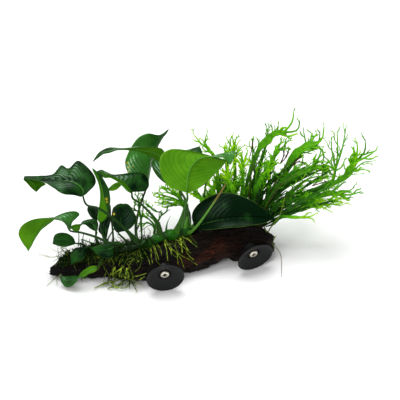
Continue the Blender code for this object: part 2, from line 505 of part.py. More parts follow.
def make_ground(cutters):
    """Cutter for everything below the surface that the part lies on."""
    bpy.ops.mesh.primitive_cube_add(size=1.0, location=(0, 0, -0.05))
    ground = bpy.context.object
    ground.name = "ground_cut"
    ground.data.transform(Matrix.Diagonal((0.6, 0.4, 0.1, 1.0)))
    ground.hide_render = True
    ground.display_type = "WIRE"
    for owner in list(ground.users_collection):
        owner.objects.unlink(ground)
    cutters.objects.link(ground)
    return ground


def make_driftwood(parts, cutters, ground, finish):
    wood = add("driftwood", wood_mesh("driftwood"), parts, finish)
    boolean(wood, ground)
    for core, radius, name in ((ANUBIAS_RHIZOME, 1.14 * ANUBIAS_RHIZOME_RADIUS, "anubias_groove"),
                               (FERN_RHIZOME, FERN_RHIZOME_RADIUS, "fern_groove")):
        points, tangents = along(smooth(core), np.linspace(0, 1, 16))
        points = np.vstack((points[0] - 1.5 * tangents[0], points[1:-1], points[-1] + 1.5 * tangents[-1]))
        boolean(wood, tube(name, points, np.full(16, radius + 1.3 * GAP), cutters))
    return wood


# ---------------------------------------------------------------- the suction cups and their screws
def turned(name, profile, steps, collection, finish=None):
    """Body turned about its Z axis from (radius, height) points in millimetres, listed as a loop."""
    shape = bmesh.new()
    verts = [shape.verts.new((radius / 1000, 0, height / 1000)) for radius, height in profile]
    for a, b in zip(verts, verts[1:]):
        shape.edges.new((a, b))
    if profile[0][0] > 0:
        shape.edges.new((verts[-1], verts[0]))
    mesh = bpy.data.meshes.new(name)
    shape.to_mesh(mesh)
    shape.free()
    piece = add(name, mesh, collection, finish)
    screw = piece.modifiers.new("Turn", "SCREW")
    screw.steps = steps
    screw.render_steps = steps
    screw.use_merge_vertices = True
    screw.merge_threshold = 0.00001
    screw.use_smooth_shade = True
    return piece


def placed_on_axis(piece, centre, faces):
    """Puts the piece's origin at the centre, with its Z axis the way the cup faces."""
    axis = unit(np.asarray(faces) @ np.array((RIGHT, UP, OUT)))
    side = unit(np.cross((0.0, 0.0, 1.0), axis))
    rise = np.cross(axis, side)
    frame = Matrix.Identity(4)
    for i, column in enumerate((side, rise, axis)):
        for j in range(3):
            frame[j][i] = column[j]
    frame.translation = to_world(centre)
    piece.matrix_world = frame


def make_cup(side, wood, parts, cutters, rubber, steel):
    cup, hole = CUPS[side], SCREW_RADIUS + GAP
    dish = turned("suction_cup_" + side, [
        (CUP_RADIUS, 0.0), (CUP_RADIUS, -0.5), (CUP_RADIUS - 3.0, -2.5), (11.5, -6.3),
        (NECK_RADIUS + 1.0, -9.0), (NECK_RADIUS, -11.0), (NECK_RADIUS, -CUP_DEPTH),
        (hole, -CUP_DEPTH), (hole, -7.2), (6.2, -7.2), (6.6, -4.9), (12.0, -3.0),
        (CUP_RADIUS - LIP_WIDTH, 0.0),
    ], 24, parts, rubber)
    screw = turned("cup_screw_" + side, [
        (0, -4.6), (1.4, -4.6), (1.4, -3.4), (3.4, -3.6), (SCREW_HEAD_RADIUS, -4.8),
        (SCREW_HEAD_RADIUS, -6.8), (SCREW_RADIUS, -6.8), (SCREW_RADIUS, -4.6 - SCREW_LENGTH + 3.0),
        (0, -4.6 - SCREW_LENGTH),
    ], 16, parts, steel)
    seat = turned("seat_cut_" + side, [
        (0, 10.0), (NECK_RADIUS + 1.0, 10.0), (NECK_RADIUS + 1.0, -CUP_DEPTH - GAP),
        (hole, -CUP_DEPTH - GAP), (hole, -6.0 - SCREW_LENGTH), (0, -6.0 - SCREW_LENGTH),
    ], 16, cutters)
    for piece in (dish, screw, seat):
        placed_on_axis(piece, cup["centre"], cup["faces"])
    boolean(wood, seat)


# ---------------------------------------------------------------- the rhizomes and their roots
def make_anubias_rhizome(parts, cutters, finish):
    """Creeping stem, ringed where old leaves sat, with the roots grown into it."""
    line = smooth(ANUBIAS_RHIZOME)
    length = np.linalg.norm(np.diff(line, axis=0), axis=1).sum()
    share = np.linspace(0, 1, 32)
    points, _ = along(line, share)
    rings = np.abs(np.sin(math.pi * share * length / NODE_SPACING))
    radii = ANUBIAS_RHIZOME_RADIUS * (0.9 + 0.16 * rings)
    radii[[0, -1]] *= 0.6
    stem = tube("anubias_rhizome", points, radii, parts, finish)
    for number, route in enumerate(ROOTS, 1):
        laid = [wood_place(across, math.radians(turn), ROOT_RADIUS + 1.0) for across, turn in route]
        start = line[np.linalg.norm(line - laid[0], axis=1).argmin()]
        points, _ = along(smooth([start] + laid), np.linspace(0, 1, 7))
        radii = ROOT_RADIUS * np.linspace(1.1, 0.6, 7)
        boolean(stem, tube(f"root_{number:02d}", points, radii, cutters, resolution=1), "UNION")
    return stem


def make_fern_rhizome(parts, finish):
    points, _ = along(smooth(FERN_RHIZOME), np.linspace(0, 1, 13))
    radii = FERN_RHIZOME_RADIUS * (0.94 + 0.05 * np.sin(np.arange(13) * 2.2))
    radii[[0, -1]] *= 0.6
    tube("fern_rhizome", points, radii, parts, finish)


def make_root_tuft(parts, cutters, ground, finish):
    """Lumpy mound of matted roots, hollowed where the wood's front lies against it."""
    bpy.ops.mesh.primitive_uv_sphere_add(segments=14, ring_count=9, radius=0.001)
    tuft = bpy.context.object
    for owner in list(tuft.users_collection):
        owner.objects.unlink(tuft)
    parts.objects.link(tuft)
    tuft.name = tuft.data.name = "root_tuft"
    tuft.data.transform(Matrix.Diagonal((*TUFT_HALVES, 1.0)))
    for vert in tuft.data.vertices:
        x, y, z = vert.co * 1000
        lump = 0.10 * math.sin(x * 0.55 + 1.0) * math.cos(y * 0.6)
        vert.co *= 1 + lump + 0.05 * math.sin(z * 0.9 + x * 0.3)
    tuft.data.transform(Matrix.Rotation(-TURN, 4, "Z"))
    tuft.data.transform(Matrix.Translation(to_world(TUFT_CENTRE)))
    tuft.data.materials.append(finish)
    tuft.data.shade_smooth()
    boolean(tuft, add("wood_clearance", wood_mesh("wood_clearance", 1.4 * GAP), cutters))
    boolean(tuft, ground)


# ---------------------------------------------------------------- the anubias leaves
def make_leaf(number, stalk, blade, tip, parts, finish):
    """Stalk and blade in one body: round rings that flatten into the blade's thin section."""
    rows = np.array(blade, float)
    rows = np.vstack((rows, [tip + 0.04 * (rows[-1] - rows[-1, 1])]))
    stem = smooth(stalk + [blade[0][1], blade[1][1]])[:-12]
    stem = clear_of(stem, ANUBIAS_RHIZOME, 1.09 * ANUBIAS_RHIZOME_RADIUS + 2 * GAP)
    stem_length, blade_length = (np.linalg.norm(np.diff(line, axis=0), axis=1).sum()
                                 for line in (stem, rows[:, 1]))
    count = 2 + int(stem_length > 12) + int(stem_length > 25) + int(stem_length > 50)
    radii = STALK_RADIUS * (1.15 - 0.4 * np.arange(count) / count) * min(1.0, 0.55 + blade_length / 90)
    side, rings = rows[0, 0] - rows[0, 2], []
    centres, forwards = along(stem, np.linspace(0, 0.93, count))
    for centre, forward, radius in zip(centres[::-1], forwards[::-1], radii[::-1]):
        side = unit(side - (side @ forward) * forward)
        top, turn = np.cross(forward, side), np.arange(8) * math.pi / 4
        rings.insert(0, centre + radius * (np.outer(np.cos(turn), side) + np.outer(np.sin(turn), top)))
    for (left, centre, right), forward in zip(rows, np.gradient(rows[:, 1], axis=0)):
        over_left = unit(np.cross(forward, left - centre))
        over_right = unit(np.cross(right - centre, forward))
        over, half = unit(over_left + over_right), LEAF_THICKNESS / 2
        mid_left = (left + centre) / 2 + LEAF_ARCH * np.linalg.norm(left - centre) * over_left
        mid_right = (right + centre) / 2 + LEAF_ARCH * np.linalg.norm(right - centre) * over_right
        rings.append(np.array((
            left, mid_left + half * over_left, centre + half * over, mid_right + half * over_right,
            right, mid_right - half * over_right, centre - half * over, mid_left - half * over_left)))
    name = f"anubias_leaf_{number:02d}"
    return add(name, mesh_of_rings(name, rings), parts, finish)


# ---------------------------------------------------------------- the fern's fronds
def make_frond(number, line, width, tips, parts, finish):
    """Flat ribbon that forks into pointed tips, given its thickness by Solidify."""
    base = line[0][1]
    upright = lambda places: [(a, u, o + FAN_UPRIGHT * (u - base)) for a, u, o in places]
    curve = clear_of(smooth(upright(line)), FERN_RHIZOME, FERN_RHIZOME_RADIUS + 2 * GAP)
    tips = [upright(tip) for tip in tips]
    rows = 5 + int(len(line) > 4) + int(len(line) > 5)
    shares = np.linspace(0, 1, rows)
    centres, forwards = along(curve, shares)
    turn = math.radians(28 * math.sin(2.4 * number))

    def sideways(forward):
        side = unit(np.cross(EYE, forward))
        return math.cos(turn) * side + math.sin(turn) * np.cross(forward, side)

    swell = np.clip((shares - 0.12) / 0.45, 0, 1)
    halves = (STIPE_WIDTH + (width - STIPE_WIDTH) * swell * swell * (3 - 2 * swell)) / 2
    halves[-1] *= 0.72
    shape = bmesh.new()
    corner = lambda place: shape.verts.new(to_world(place))
    sides = [(corner(c + h * sideways(f)), corner(c - h * sideways(f)))
             for c, f, h in zip(centres, forwards, halves)]
    for (a, b), (c, d) in zip(sides[:-2], sides[1:-1]):
        shape.faces.new((a, b, d, c))
    end, forward = centres[-1], forwards[-1]
    across = sideways(forward)
    ordered = sorted(tips, key=lambda tip: -float((np.array(tip[0]) - end) @ across))
    forks = [sides[-1][0]]
    for k in range(1, len(ordered)):
        offset = halves[-1] * (1 - 2 * k / len(ordered))
        forks.append(corner(end + offset * across + 0.25 * width * forward))
    forks.append(sides[-1][1])
    shape.faces.new([sides[-2][0], sides[-2][1]] + forks[::-1])
    for tip, start_left, start_right in zip(ordered, forks, forks[1:]):
        before, spread = end, np.linalg.norm(np.array(start_left.co - start_right.co)) * 500
        left, right = start_left, start_right
        for step, place in enumerate(tip):
            place = np.array(place, float)
            reach = unit(place - before)
            half = spread * (0.5 if step < len(tip) - 1 else 0.0) + 0.25
            next_left = corner(place + half * sideways(reach))
            next_right = corner(place - half * sideways(reach))
            shape.faces.new((left, right, next_right, next_left))
            left, right, before = next_left, next_right, place
    name = f"fern_frond_{number:02d}"
    mesh = bpy.data.meshes.new(name)
    bmesh.ops.triangulate(shape, faces=shape.faces)
    shape.to_mesh(mesh)
    shape.free()
    frond = add(name, mesh, parts, finish)
    wall = frond.modifiers.new("Thickness", "SOLIDIFY")
    wall.thickness = FROND_THICKNESS / 1000
    wall.offset = 0.0
    return frond


# ---------------------------------------------------------------- the whole part
def main():
    for old in list(bpy.data.objects):
        bpy.data.objects.remove(old, do_unlink=True)
    parts = bpy.data.collections.new("java_fern_on_driftwood")
    cutters = bpy.data.collections.new("cutters")
    for collection in (parts, cutters):
        bpy.context.scene.collection.children.link(collection)

    bark = material("waterlogged_wood", (0.028, 0.012, 0.008), 0.75)
    rubber = material("black_rubber", (0.020, 0.021, 0.023), 0.5)
    steel = material("stainless_steel", (0.62, 0.60, 0.55), 0.3, 1.0)
    stem_green = material("anubias_stem", (0.10, 0.24, 0.04), 0.5)
    leaf_green = material("anubias_leaf", (0.025, 0.110, 0.022), 0.35)
    root_brown = material("matted_roots", (0.16, 0.17, 0.03), 0.7)
    stem_brown = material("fern_stem", (0.05, 0.06, 0.02), 0.7)
    frond_green = material("fern_frond", (0.060, 0.260, 0.020), 0.45)

    ground = make_ground(cutters)
    wood = make_driftwood(parts, cutters, ground, bark)
    for side in CUPS:
        make_cup(side, wood, parts, cutters, rubber, steel)
    make_anubias_rhizome(parts, cutters, stem_green)
    make_fern_rhizome(parts, stem_brown)
    make_root_tuft(parts, cutters, ground, root_brown)
    for number, leaf in enumerate(LEAVES, 1):
        make_leaf(number, parts=parts, finish=leaf_green, **leaf)
    for number, frond in enumerate(FRONDS, 1):
        make_frond(number, parts=parts, finish=frond_green, **frond)
    stalk = clear_of(smooth(BARE_STALK), ANUBIAS_RHIZOME, 1.09 * ANUBIAS_RHIZOME_RADIUS + 2 * GAP)
    points, _ = along(stalk, np.linspace(0, 1, 9))
    tube("anubias_bare_stalk", points, np.linspace(1.7, 1.0, 9), parts, stem_green)
    shoot = clear_of(smooth(SHOOT), FERN_RHIZOME, FERN_RHIZOME_RADIUS + 2 * GAP)
    points, _ = along(shoot, np.linspace(0, 1, 9))
    tube("fern_shoot", points, np.linspace(0.7, 0.4, 9), parts, frond_green, resolution=1)


main()
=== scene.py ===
"""Looks of an anubias and a lace java fern that grow on a piece of driftwood.

Each visible piece is a surface worked out with numpy. All but four take the place of a node of the
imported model; the moss, the young stalks and the two sets of small fronds have none.
"""

import math

import bpy
import numpy as np
from mathutils import Matrix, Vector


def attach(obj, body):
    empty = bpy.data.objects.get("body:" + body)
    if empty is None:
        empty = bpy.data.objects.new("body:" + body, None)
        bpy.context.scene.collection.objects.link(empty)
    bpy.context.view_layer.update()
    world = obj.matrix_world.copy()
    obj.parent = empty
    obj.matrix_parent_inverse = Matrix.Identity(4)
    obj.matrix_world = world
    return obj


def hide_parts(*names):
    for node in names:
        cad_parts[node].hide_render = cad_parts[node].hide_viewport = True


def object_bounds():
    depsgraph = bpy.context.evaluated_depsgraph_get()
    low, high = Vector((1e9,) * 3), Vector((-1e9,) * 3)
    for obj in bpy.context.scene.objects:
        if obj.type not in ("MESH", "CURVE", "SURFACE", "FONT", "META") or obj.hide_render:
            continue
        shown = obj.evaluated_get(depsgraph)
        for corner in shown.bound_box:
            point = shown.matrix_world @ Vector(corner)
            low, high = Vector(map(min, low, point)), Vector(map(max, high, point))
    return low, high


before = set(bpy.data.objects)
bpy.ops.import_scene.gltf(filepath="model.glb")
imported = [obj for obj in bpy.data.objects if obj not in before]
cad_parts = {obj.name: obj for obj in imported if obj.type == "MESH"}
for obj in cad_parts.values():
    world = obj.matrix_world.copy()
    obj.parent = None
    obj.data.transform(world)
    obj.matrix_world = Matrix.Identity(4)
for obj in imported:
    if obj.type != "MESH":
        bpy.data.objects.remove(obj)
cad_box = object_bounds()

# ================================================================ the studio
# A pale matt floor that runs past the view, one large soft lamp above and behind, and a weaker one
# in front. The camera stands where the photo was taken from.

# Places are (across, up, out) in millimetres, square to the camera's sight line, which looks down by
# LEAN and comes from the left of the front by TURN.
LEAN, TURN = math.radians(40.0), math.radians(10.0)
ORIGIN = np.array((6.27, 9.06, 56.0))  # from the zero of the places to the middle of the footprint
RIGHT = np.array((math.cos(TURN), -math.sin(TURN), 0.0))
OUT = np.array((-math.sin(TURN) * math.cos(LEAN), -math.cos(TURN) * math.cos(LEAN), math.sin(LEAN)))
UP = np.cross(OUT, RIGHT)
VIEW_WIDTH = 0.4  # metres seen across the picture at the zero of the places
CAMERA_DISTANCE = 4.0
FLOOR_SIZE = 12.0
LIT_PLACE = (0.0, 0.0, 0.05)  # what the lamps shine at
ROOM_LIGHT = 0.48


def to_world(places):
    """Places in millimetres, turned and leant into world metres."""
    return (np.asarray(places, float) @ np.array((RIGHT, UP, OUT)) + ORIGIN) / 1000.0


def linear(colour):
    """Linear RGBA of an sRGB hex colour."""
    parts = np.array([int(colour[i:i + 2], 16) for i in (1, 3, 5)]) / 255.0
    parts = np.where(parts <= 0.04045, parts / 12.92, ((parts + 0.055) / 1.055) ** 2.4)
    return (*parts, 1.0)


def wire(made, inputs):
    """Gives a node's inputs, by name or number, their values or the sockets that feed them."""
    for name, value in inputs.items():
        if isinstance(value, bpy.types.NodeSocket):
            made.id_data.links.new(value, made.inputs[name])
        else:
            made.inputs[name].default_value = value


def new_material(name, **constants):
    """A material, its node tree and its Principled shader, with constants set on the shader's sockets."""
    made = bpy.data.materials.new(name)
    made.use_nodes = True
    shader = made.node_tree.nodes["Principled BSDF"]
    wire(shader, {socket.replace("_", " "): value for socket, value in constants.items()})
    return made, made.node_tree, shader


def node(tree, kind, inputs={}, out=0, **settings):
    """Adds a shader node with its settings and its wired inputs, and gives back the output that is used."""
    made = tree.nodes.new("ShaderNode" + kind)
    for setting, value in settings.items():
        setattr(made, setting, value)
    wire(made, inputs)
    return made.outputs[out]


def clouded(tree, scale, detail, dark, light):
    """Soft noise on the object's own places, `scale` lumps to the metre, and the colour that it blends."""
    place = node(tree, "TexCoord", out="Object")
    cloud = node(tree, "TexNoise", {"Vector": place, "Scale": scale, "Detail": detail})
    return cloud, node(tree, "Mix", {0: cloud, 6: linear(dark), 7: linear(light)}, 2, data_type="RGBA")


def unit(vectors):
    """The vectors, each brought to length one."""
    return vectors / (np.linalg.norm(vectors, axis=-1, keepdims=True) + 1e-12)


def stand(thing, side, rise, back, place):
    """Stands a lamp or the camera at a world place, with its own three axes along side, rise and back."""
    thing.matrix_world = Matrix((*zip(side, rise, back, place), (0, 0, 0, 1)))


scene = bpy.context.scene
scene.view_settings.view_transform = "Standard"
dressed = bpy.data.collections.new("dressed_part")
studio = bpy.data.collections.new("studio")
for collection in (dressed, studio):
    scene.collection.children.link(collection)

# Matt white paper: diffuse, with only a trace of unevenness
paper, tree, shader = new_material("white_paper", Roughness=0.95, Specular_IOR_Level=0.0)
wire(shader, {"Base Color": clouded(tree, 3.0, 2.0, "#f4f4f4", "#f7f7f7")[1]})
sheet = bpy.data.meshes.new("floor")
half = FLOOR_SIZE / 2
corners = [(-half, -half, 0), (half, -half, 0), (half, half, 0), (-half, half, 0)]
sheet.from_pydata(corners, [], [(0, 1, 2, 3)])
sheet.materials.append(paper)
floor = bpy.data.objects.new("floor", sheet)
studio.objects.link(floor)

LAMPS = {  # place, size and power of each softbox
    "softbox_overhead": ((-0.15, 0.35, 1.6), 1.2, 27.0),
    "softbox_front": ((-0.9, -1.6, 1.8), 1.2, 20.0),
}
for name, (spot, size, power) in LAMPS.items():
    lamp = bpy.data.lights.new(name, "AREA")
    lamp.shape = "SQUARE"
    lamp.size = size
    lamp.energy = power
    box = bpy.data.objects.new(name, lamp)
    studio.objects.link(box)
    back = unit(np.array(spot) - LIT_PLACE)
    side = unit(np.cross((0, 0, 1), back))
    stand(box, side, np.cross(back, side), back, spot)
sky = bpy.data.worlds.new("white_room")
sky.use_nodes = True
wire(sky.node_tree.nodes["Background"], {"Color": linear("#ffffff"), "Strength": ROOM_LIGHT})
scene.world = sky

eye = bpy.data.cameras.new("camera")
eye.sensor_width = 36.0
eye.lens = eye.sensor_width * CAMERA_DISTANCE / VIEW_WIDTH
eye.clip_end = 50.0
camera = bpy.data.objects.new("camera", eye)
studio.objects.link(camera)
stand(camera, RIGHT, UP, OUT, to_world((0, 0, 0)) + CAMERA_DISTANCE * OUT)
scene.camera = camera

# ================================================================ the driftwood
# One waterlogged log, almost black, its bark gone and its fibres lying bare and furrowed along it.
# It is flat where it lies on the floor, ragged at both ends, and reddish where the rot is fresh.
WOOD = np.array([  # across, up and out along its heart, and its radius there
    (-148.5, -70.6, 8, 3.6), (-146, -70.5, 8, 5), (-139, -68, 8, 8), (-125, -64.5, 8.5, 11.5),
    (-105, -62.5, 9, 13.5), (-85, -62, 10, 15), (-65, -62, 12, 18), (-50, -61, 12, 19.5),
    (-35, -58, 8.5, 19.5), (-15, -52, 0.5, 18.5), (0, -49.5, -2.5, 18.5), (15, -47, -6, 18),
    (35, -43.5, -10.5, 17), (50, -42.5, -11.5, 16.5), (62, -42.5, -13, 15), (69, -43.5, -12, 11.5),
    (73.5, -44, -12, 7),
])
NOTCH_ACROSS, NOTCH_TURN, NOTCH_DEPTH = 25.0, math.radians(175.0), 4.5
WOOD_ROWS, WOOD_COLUMNS = 420, 176
ROT_ACROSS, ROT_TURN = 6.0, 2.0  # where the rot is freshest: low on the front, near the middle


def smooth(points, per_span=12):
    """Catmull-Rom curve through points or through whole rows of points, sampled evenly in each span."""
    p = np.asarray(points, float)
    padded = np.concatenate((2 * p[:1] - p[1:2], p, 2 * p[-1:] - p[-2:-1]))
    t = (np.arange(per_span) / per_span).reshape((-1,) + (1,) * (p.ndim - 1))
    spans = [0.5 * (2 * b + (c - a) * t + (2 * a - 5 * b + 4 * c - d) * t**2
                    + (3 * b - a - 3 * c + d) * t**3)
             for a, b, c, d in zip(padded, padded[1:], padded[2:], padded[3:])]
    return np.concatenate(spans + [p[-1:]])


def circle(count):
    """Turns in radians, evenly all the way round."""
    return np.linspace(0, 2 * math.pi, count, endpoint=False)


def lattice(a, b, cells, seed, ring=False):
    """Soft noise from -1 to 1: a seeded lattice of random heights under a and b (both 0 to 1), eased
    between its points with 3t^2-2t^3. With ring, b's two ends meet."""
    height = np.random.default_rng(seed).uniform(-1, 1, (cells[0] + 2, cells[1] + 2))
    if ring:
        height[:, cells[1]:] = height[:, :2]
    i, j = np.clip(a, 0, 1) * cells[0], (b % 1.0 if ring else np.clip(b, 0, 1)) * cells[1]
    m, n = i.astype(int), j.astype(int)
    s, t = ((x - k) ** 2 * (3 - 2 * (x - k)) for x, k in ((i, m), (j, n)))
    return ((1 - s) * ((1 - t) * height[m, n] + t * height[m, n + 1])
            + s * ((1 - t) * height[m + 1, n] + t * height[m + 1, n + 1]))


def wood_place(across, turn, clearance=0.0):
    """Place on the wood's skin at a turn in radians from its top, lifted by the clearance: its radius
    swells and sinks in three sine waves round it, with one bite at the notch."""
    line = smooth(WOOD)
    up, out, radius = (np.interp(across, line[:, 0], line[:, i]) for i in (1, 2, 3))
    lumps = (0.045 * np.sin(3 * turn + across / 13.0) + 0.035 * np.sin(2 * turn - across / 8.0 + 1.3)
             + 0.025 * np.sin(5 * turn + across / 5.5))
    bite = np.exp(-((across - NOTCH_ACROSS) / 7.0) ** 2 - ((turn - NOTCH_TURN) / 0.5) ** 2)
    reach = radius * (1 + lumps) - NOTCH_DEPTH * bite + clearance
    return np.stack((across + 0 * turn, up + reach * np.cos(turn), out + reach * np.sin(turn)), -1)


def make_piece(name, sheets, finishes):
    """One mesh from sheets of places. A sheet has `at`, an array (copies, rows, columns, 3) of world
    metres, and any arrays of the same leading shape, which become attributes. Its columns close round
    and its two ends are filled, but with `loop` its rows close too; `finish` numbers its material."""
    places, faces, finish, marks, start = [], [], [], {}, 0
    for part in sheets:
        at = part["at"] if part["at"].ndim == 4 else part["at"][None]
        copies, rows, columns = at.shape[:3]
        index = start + np.arange(copies * rows * columns).reshape(copies, rows, columns)
        if part.get("loop"):
            index = np.concatenate((index, index[:, :1]), axis=1)
        after = np.roll(index, -1, axis=2)
        quads = np.stack((index[:, :-1], after[:, :-1], after[:, 1:], index[:, 1:]), -1)
        number = np.broadcast_to(part.get("finish", 0), quads.shape[:3]).reshape(-1)
        faces += quads.reshape(-1, 4).tolist()
        finish += number.tolist()
        if not part.get("loop"):
            ends = np.concatenate((index[:, 0, ::-1], index[:, -1]))
            faces += ends.tolist()
            finish += [int(number[0])] * len(ends)
        places.append(at.reshape(-1, 3))
        for mark, values in part.items():
            if mark not in ("at", "loop", "finish"):
                values = np.broadcast_to(values, at.shape[:3]).reshape(-1)
                marks.setdefault(mark, []).append((start, values))
        start += copies * rows * columns
    mesh = bpy.data.meshes.new(name)
    mesh.from_pydata(np.concatenate(places), [], faces)
    mesh.polygons.foreach_set("material_index", finish)
    for mark, runs in marks.items():
        values = np.zeros(start, np.float32)
        for first, run in runs:
            values[first:first + len(run)] = run
        mesh.attributes.new(mark, "FLOAT", "POINT").data.foreach_set("value", values)
    mesh.shade_smooth()
    for surface in finishes:
        mesh.materials.append(surface)
    piece = bpy.data.objects.new(name, mesh)
    dressed.objects.link(piece)
    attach(piece, "root")
    return piece


s = np.linspace(0, 1, WOOD_ROWS)[:, None]
turn = circle(WOOD_COLUMNS)[None]
first, last = WOOD[0, 0], WOOD[-1, 0]
share = s - 0.018 * np.sin(2 * math.pi * s)
across = first + (last - first) * share + 0 * turn
round_share = turn / (2 * math.pi) + 0.03 * np.sin(across / 21.0)  # the fibres twist a little round the log
NOISES = ((26, 84), (80, 190), (44, 22), (17, 9))  # cells along and round the log
furrow, fibre, knob, blotch = (lattice(share + 0 * turn, round_share, cells, seed, ring=True)
                               for seed, cells in enumerate(NOISES, 1))
fresh_rot = 0.3 + np.exp(-((across - ROT_ACROSS) / 28.0) ** 2 - ((turn - ROT_TURN) / 0.8) ** 2)
rot = np.clip(1.8 * blotch, -1, 1) * fresh_rot * np.clip(across / 60 + 1.3, 0, 1)
painted_shade = np.clip((8 - across) / 40, 0, 1)  # painted shade: darkens the left half, behind the roots and under the leaves, nearly to black
relief = 1.0 * furrow + 0.8 * fibre * (1 + 0.5 * rot) + 1.3 * knob
taper = np.clip(np.minimum(s, 1 - s) * 30, 0.15, 1)
skin = wood_place(across, turn, relief * taper - 0.2)
ragged = 0.8 * np.sin(3 * turn + 0.6) + 0.6 * np.sin(7 * turn) + 1.2 * fibre
skin[..., 0] += ragged * (np.exp(-s * 30) + np.exp(-(1 - s) * 30))
skin = to_world(skin)
skin[..., 2] = np.maximum(skin[..., 2], 0.0)

# Soaked wood: dark, satin where it is wet, with paler and redder fibres in streaks along it, and painted
# shade that darkens its furrows and its left half
wood_finish, tree, shader = new_material("waterlogged_wood", Specular_IOR_Level=0.13)
rotten = node(tree, "Attribute", out="Fac", attribute_name="rot")
height = node(tree, "Attribute", out="Fac", attribute_name="depth")
place = node(tree, "TexCoord", out="Object")
along = node(tree, "Mapping", {"Vector": place, "Rotation": (0, 0, TURN), "Scale": (0.18, 1.0, 1.0)})
grain = node(tree, "TexNoise", {"Vector": along, "Scale": 700.0, "Detail": 5.0, "Roughness": 0.6})
grain = node(tree, "MapRange", {0: grain, 1: 0.35, 2: 0.68})
coarse = node(tree, "TexNoise", {"Vector": place, "Scale": 75.0, "Detail": 3.0})
dark = node(tree, "Mix", {0: grain, 6: linear("#050403"), 7: linear("#261811")}, 2, data_type="RGBA")
red = node(tree, "Mix", {0: grain, 6: linear("#1a0b06"), 7: linear("#5a2c18")}, 2, data_type="RGBA")
patch = node(tree, "MapRange", {0: rotten, 1: 0.3, 2: 0.9, 3: 0.0, 4: 1.8})
patchy = node(tree, "Math", {0: patch, 1: coarse}, operation="MULTIPLY")
mixed = node(tree, "Mix", {0: patchy, 6: dark, 7: red}, 2, data_type="RGBA")
# Painted shade: where the depth mark is low, in the furrows and over the left half, the colour is mixed
# towards near-black
high = node(tree, "MapRange", {0: height, 1: -0.6, 2: 0.5, 3: 0.25, 4: 1.0})
final = node(tree, "Mix", {0: high, 6: linear("#050404"), 7: mixed}, 2, data_type="RGBA")
damp = node(tree, "MapRange", {0: coarse, 1: 0.35, 2: 0.7, 3: 0.42, 4: 0.85})
pits = node(tree, "TexNoise", {"Vector": place, "Scale": 420.0, "Detail": 3.0, "Roughness": 0.7})
rough = node(tree, "Math", {0: pits, 1: 1.6, 2: grain}, operation="MULTIPLY_ADD")
bump = node(tree, "Bump", {"Height": rough, "Strength": 1.0, "Distance": 0.0010})
wire(shader, {"Base Color": final, "Roughness": damp, "Normal": bump})

# The depth mark: high on the ridges, low in the furrows, and lowered further by the painted shade on the
# left
depth = furrow * 0.6 + fibre * 0.4 - 0.55 * painted_shade
log = make_piece("driftwood_log", [dict(at=skin, rot=rot, depth=depth)], [wood_finish])
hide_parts("driftwood")

# ================================================================ the suction cups
# Two moulded black rubber cups, 38 mm across, each held to the wood by one screw through its neck.
# The rubber is satin, with a soft rolled lip and a shallow step round the sunk screw.
CUPS = {
    "left": dict(centre=(-34.2, -77.5, 34.9), faces=(0.142, -0.730, 0.667)),
    "right": dict(centre=(55.3, -57.5, 10.9), faces=(0.394, -0.750, 0.530)),
}
CUP_PROFILE = [  # radius and height from the screw hole over the front to the lip, then back outside
    (2.35, -7.4), (4.0, -7.35), (6.0, -7.2), (6.5, -6.6), (6.55, -5.6), (7.2, -4.9), (8.6, -4.4),
    (11.0, -3.5), (13.5, -2.4), (15.8, -1.2), (17.2, -0.35), (18.2, -0.02), (18.8, -0.08), (19.0, -0.4),
    (18.6, -0.95), (16.2, -2.5), (13.8, -4.4), (11.4, -6.4), (9.2, -7.9), (7.6, -9.0), (6.7, -10.2),
    (6.5, -11.5), (6.5, -13.4), (6.4, -14.7), (6.0, -15.0), (4.0, -15.0), (2.35, -15.0), (2.35, -11.0),
]
CUP_STEPS = 96


def turned(profile, steps):
    """Rows of places about the Z axis: each (radius, height) of the profile is carried round it."""
    profile = np.asarray(profile, float)
    turn = circle(steps)
    r, h = profile[:, :1], profile[:, 1:]
    return np.stack((r * np.cos(turn), r * np.sin(turn), h + 0 * turn), -1)


def on_axis(shape, centre, faces):
    """World places of a turned shape whose Z axis lies the way the cup faces."""
    axis = unit(np.asarray(faces) @ np.array((RIGHT, UP, OUT)))
    side = unit(np.cross((0.0, 0.0, 1.0), axis))
    return shape / 1000.0 @ np.array((side, np.cross(axis, side), axis)) + to_world(centre)


# Moulded nitrile rubber: near-black, satin, with a fine moulded grain and a trace of grey bloom
rubber, tree, shader = new_material("black_rubber", Specular_IOR_Level=0.2)
bloom, tint = clouded(tree, 120.0, 4.0, "#0a0b0b", "#141616")
satin = node(tree, "MapRange", {0: bloom, 1: 0.3, 2: 0.7, 3: 0.42, 4: 0.56})
place = node(tree, "TexCoord", out="Object")
moulded = node(tree, "TexNoise", {"Vector": place, "Scale": 2500.0, "Detail": 1.0})  # 0.4 mm grain
bump = node(tree, "Bump", {"Height": moulded, "Strength": 0.25, "Distance": 0.0001})
wire(shader, {"Base Color": tint, "Roughness": satin, "Normal": bump})

for side, cup in CUPS.items():
    shape = turned(smooth(CUP_PROFILE + CUP_PROFILE[:1], 3)[-2::-1], CUP_STEPS)
    dish = make_piece("suction_cup_" + side + "_rubber",
                      [dict(at=on_axis(shape, cup["centre"], cup["faces"])[None], loop=True)], [rubber])
    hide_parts("suction_cup_" + side)

# ================================================================ the cups' screws
# One stainless pan-head screw in each cup, turned and polished, with a pressed cross recess. Its
# head sits on the rubber's step and its shank runs through the neck into the wood.
HEAD_RADIUS, HEAD_TOP, HEAD_RIM, HEAD_UNDER, SHANK_RADIUS, SHANK_END = 4.6, -3.4, -5.0, -6.8, 2.0, -28.6
RECESS_LONG, RECESS_WIDE, RECESS_DEEP = 2.2, 0.95, 1.5
SCREW_STEPS = 72


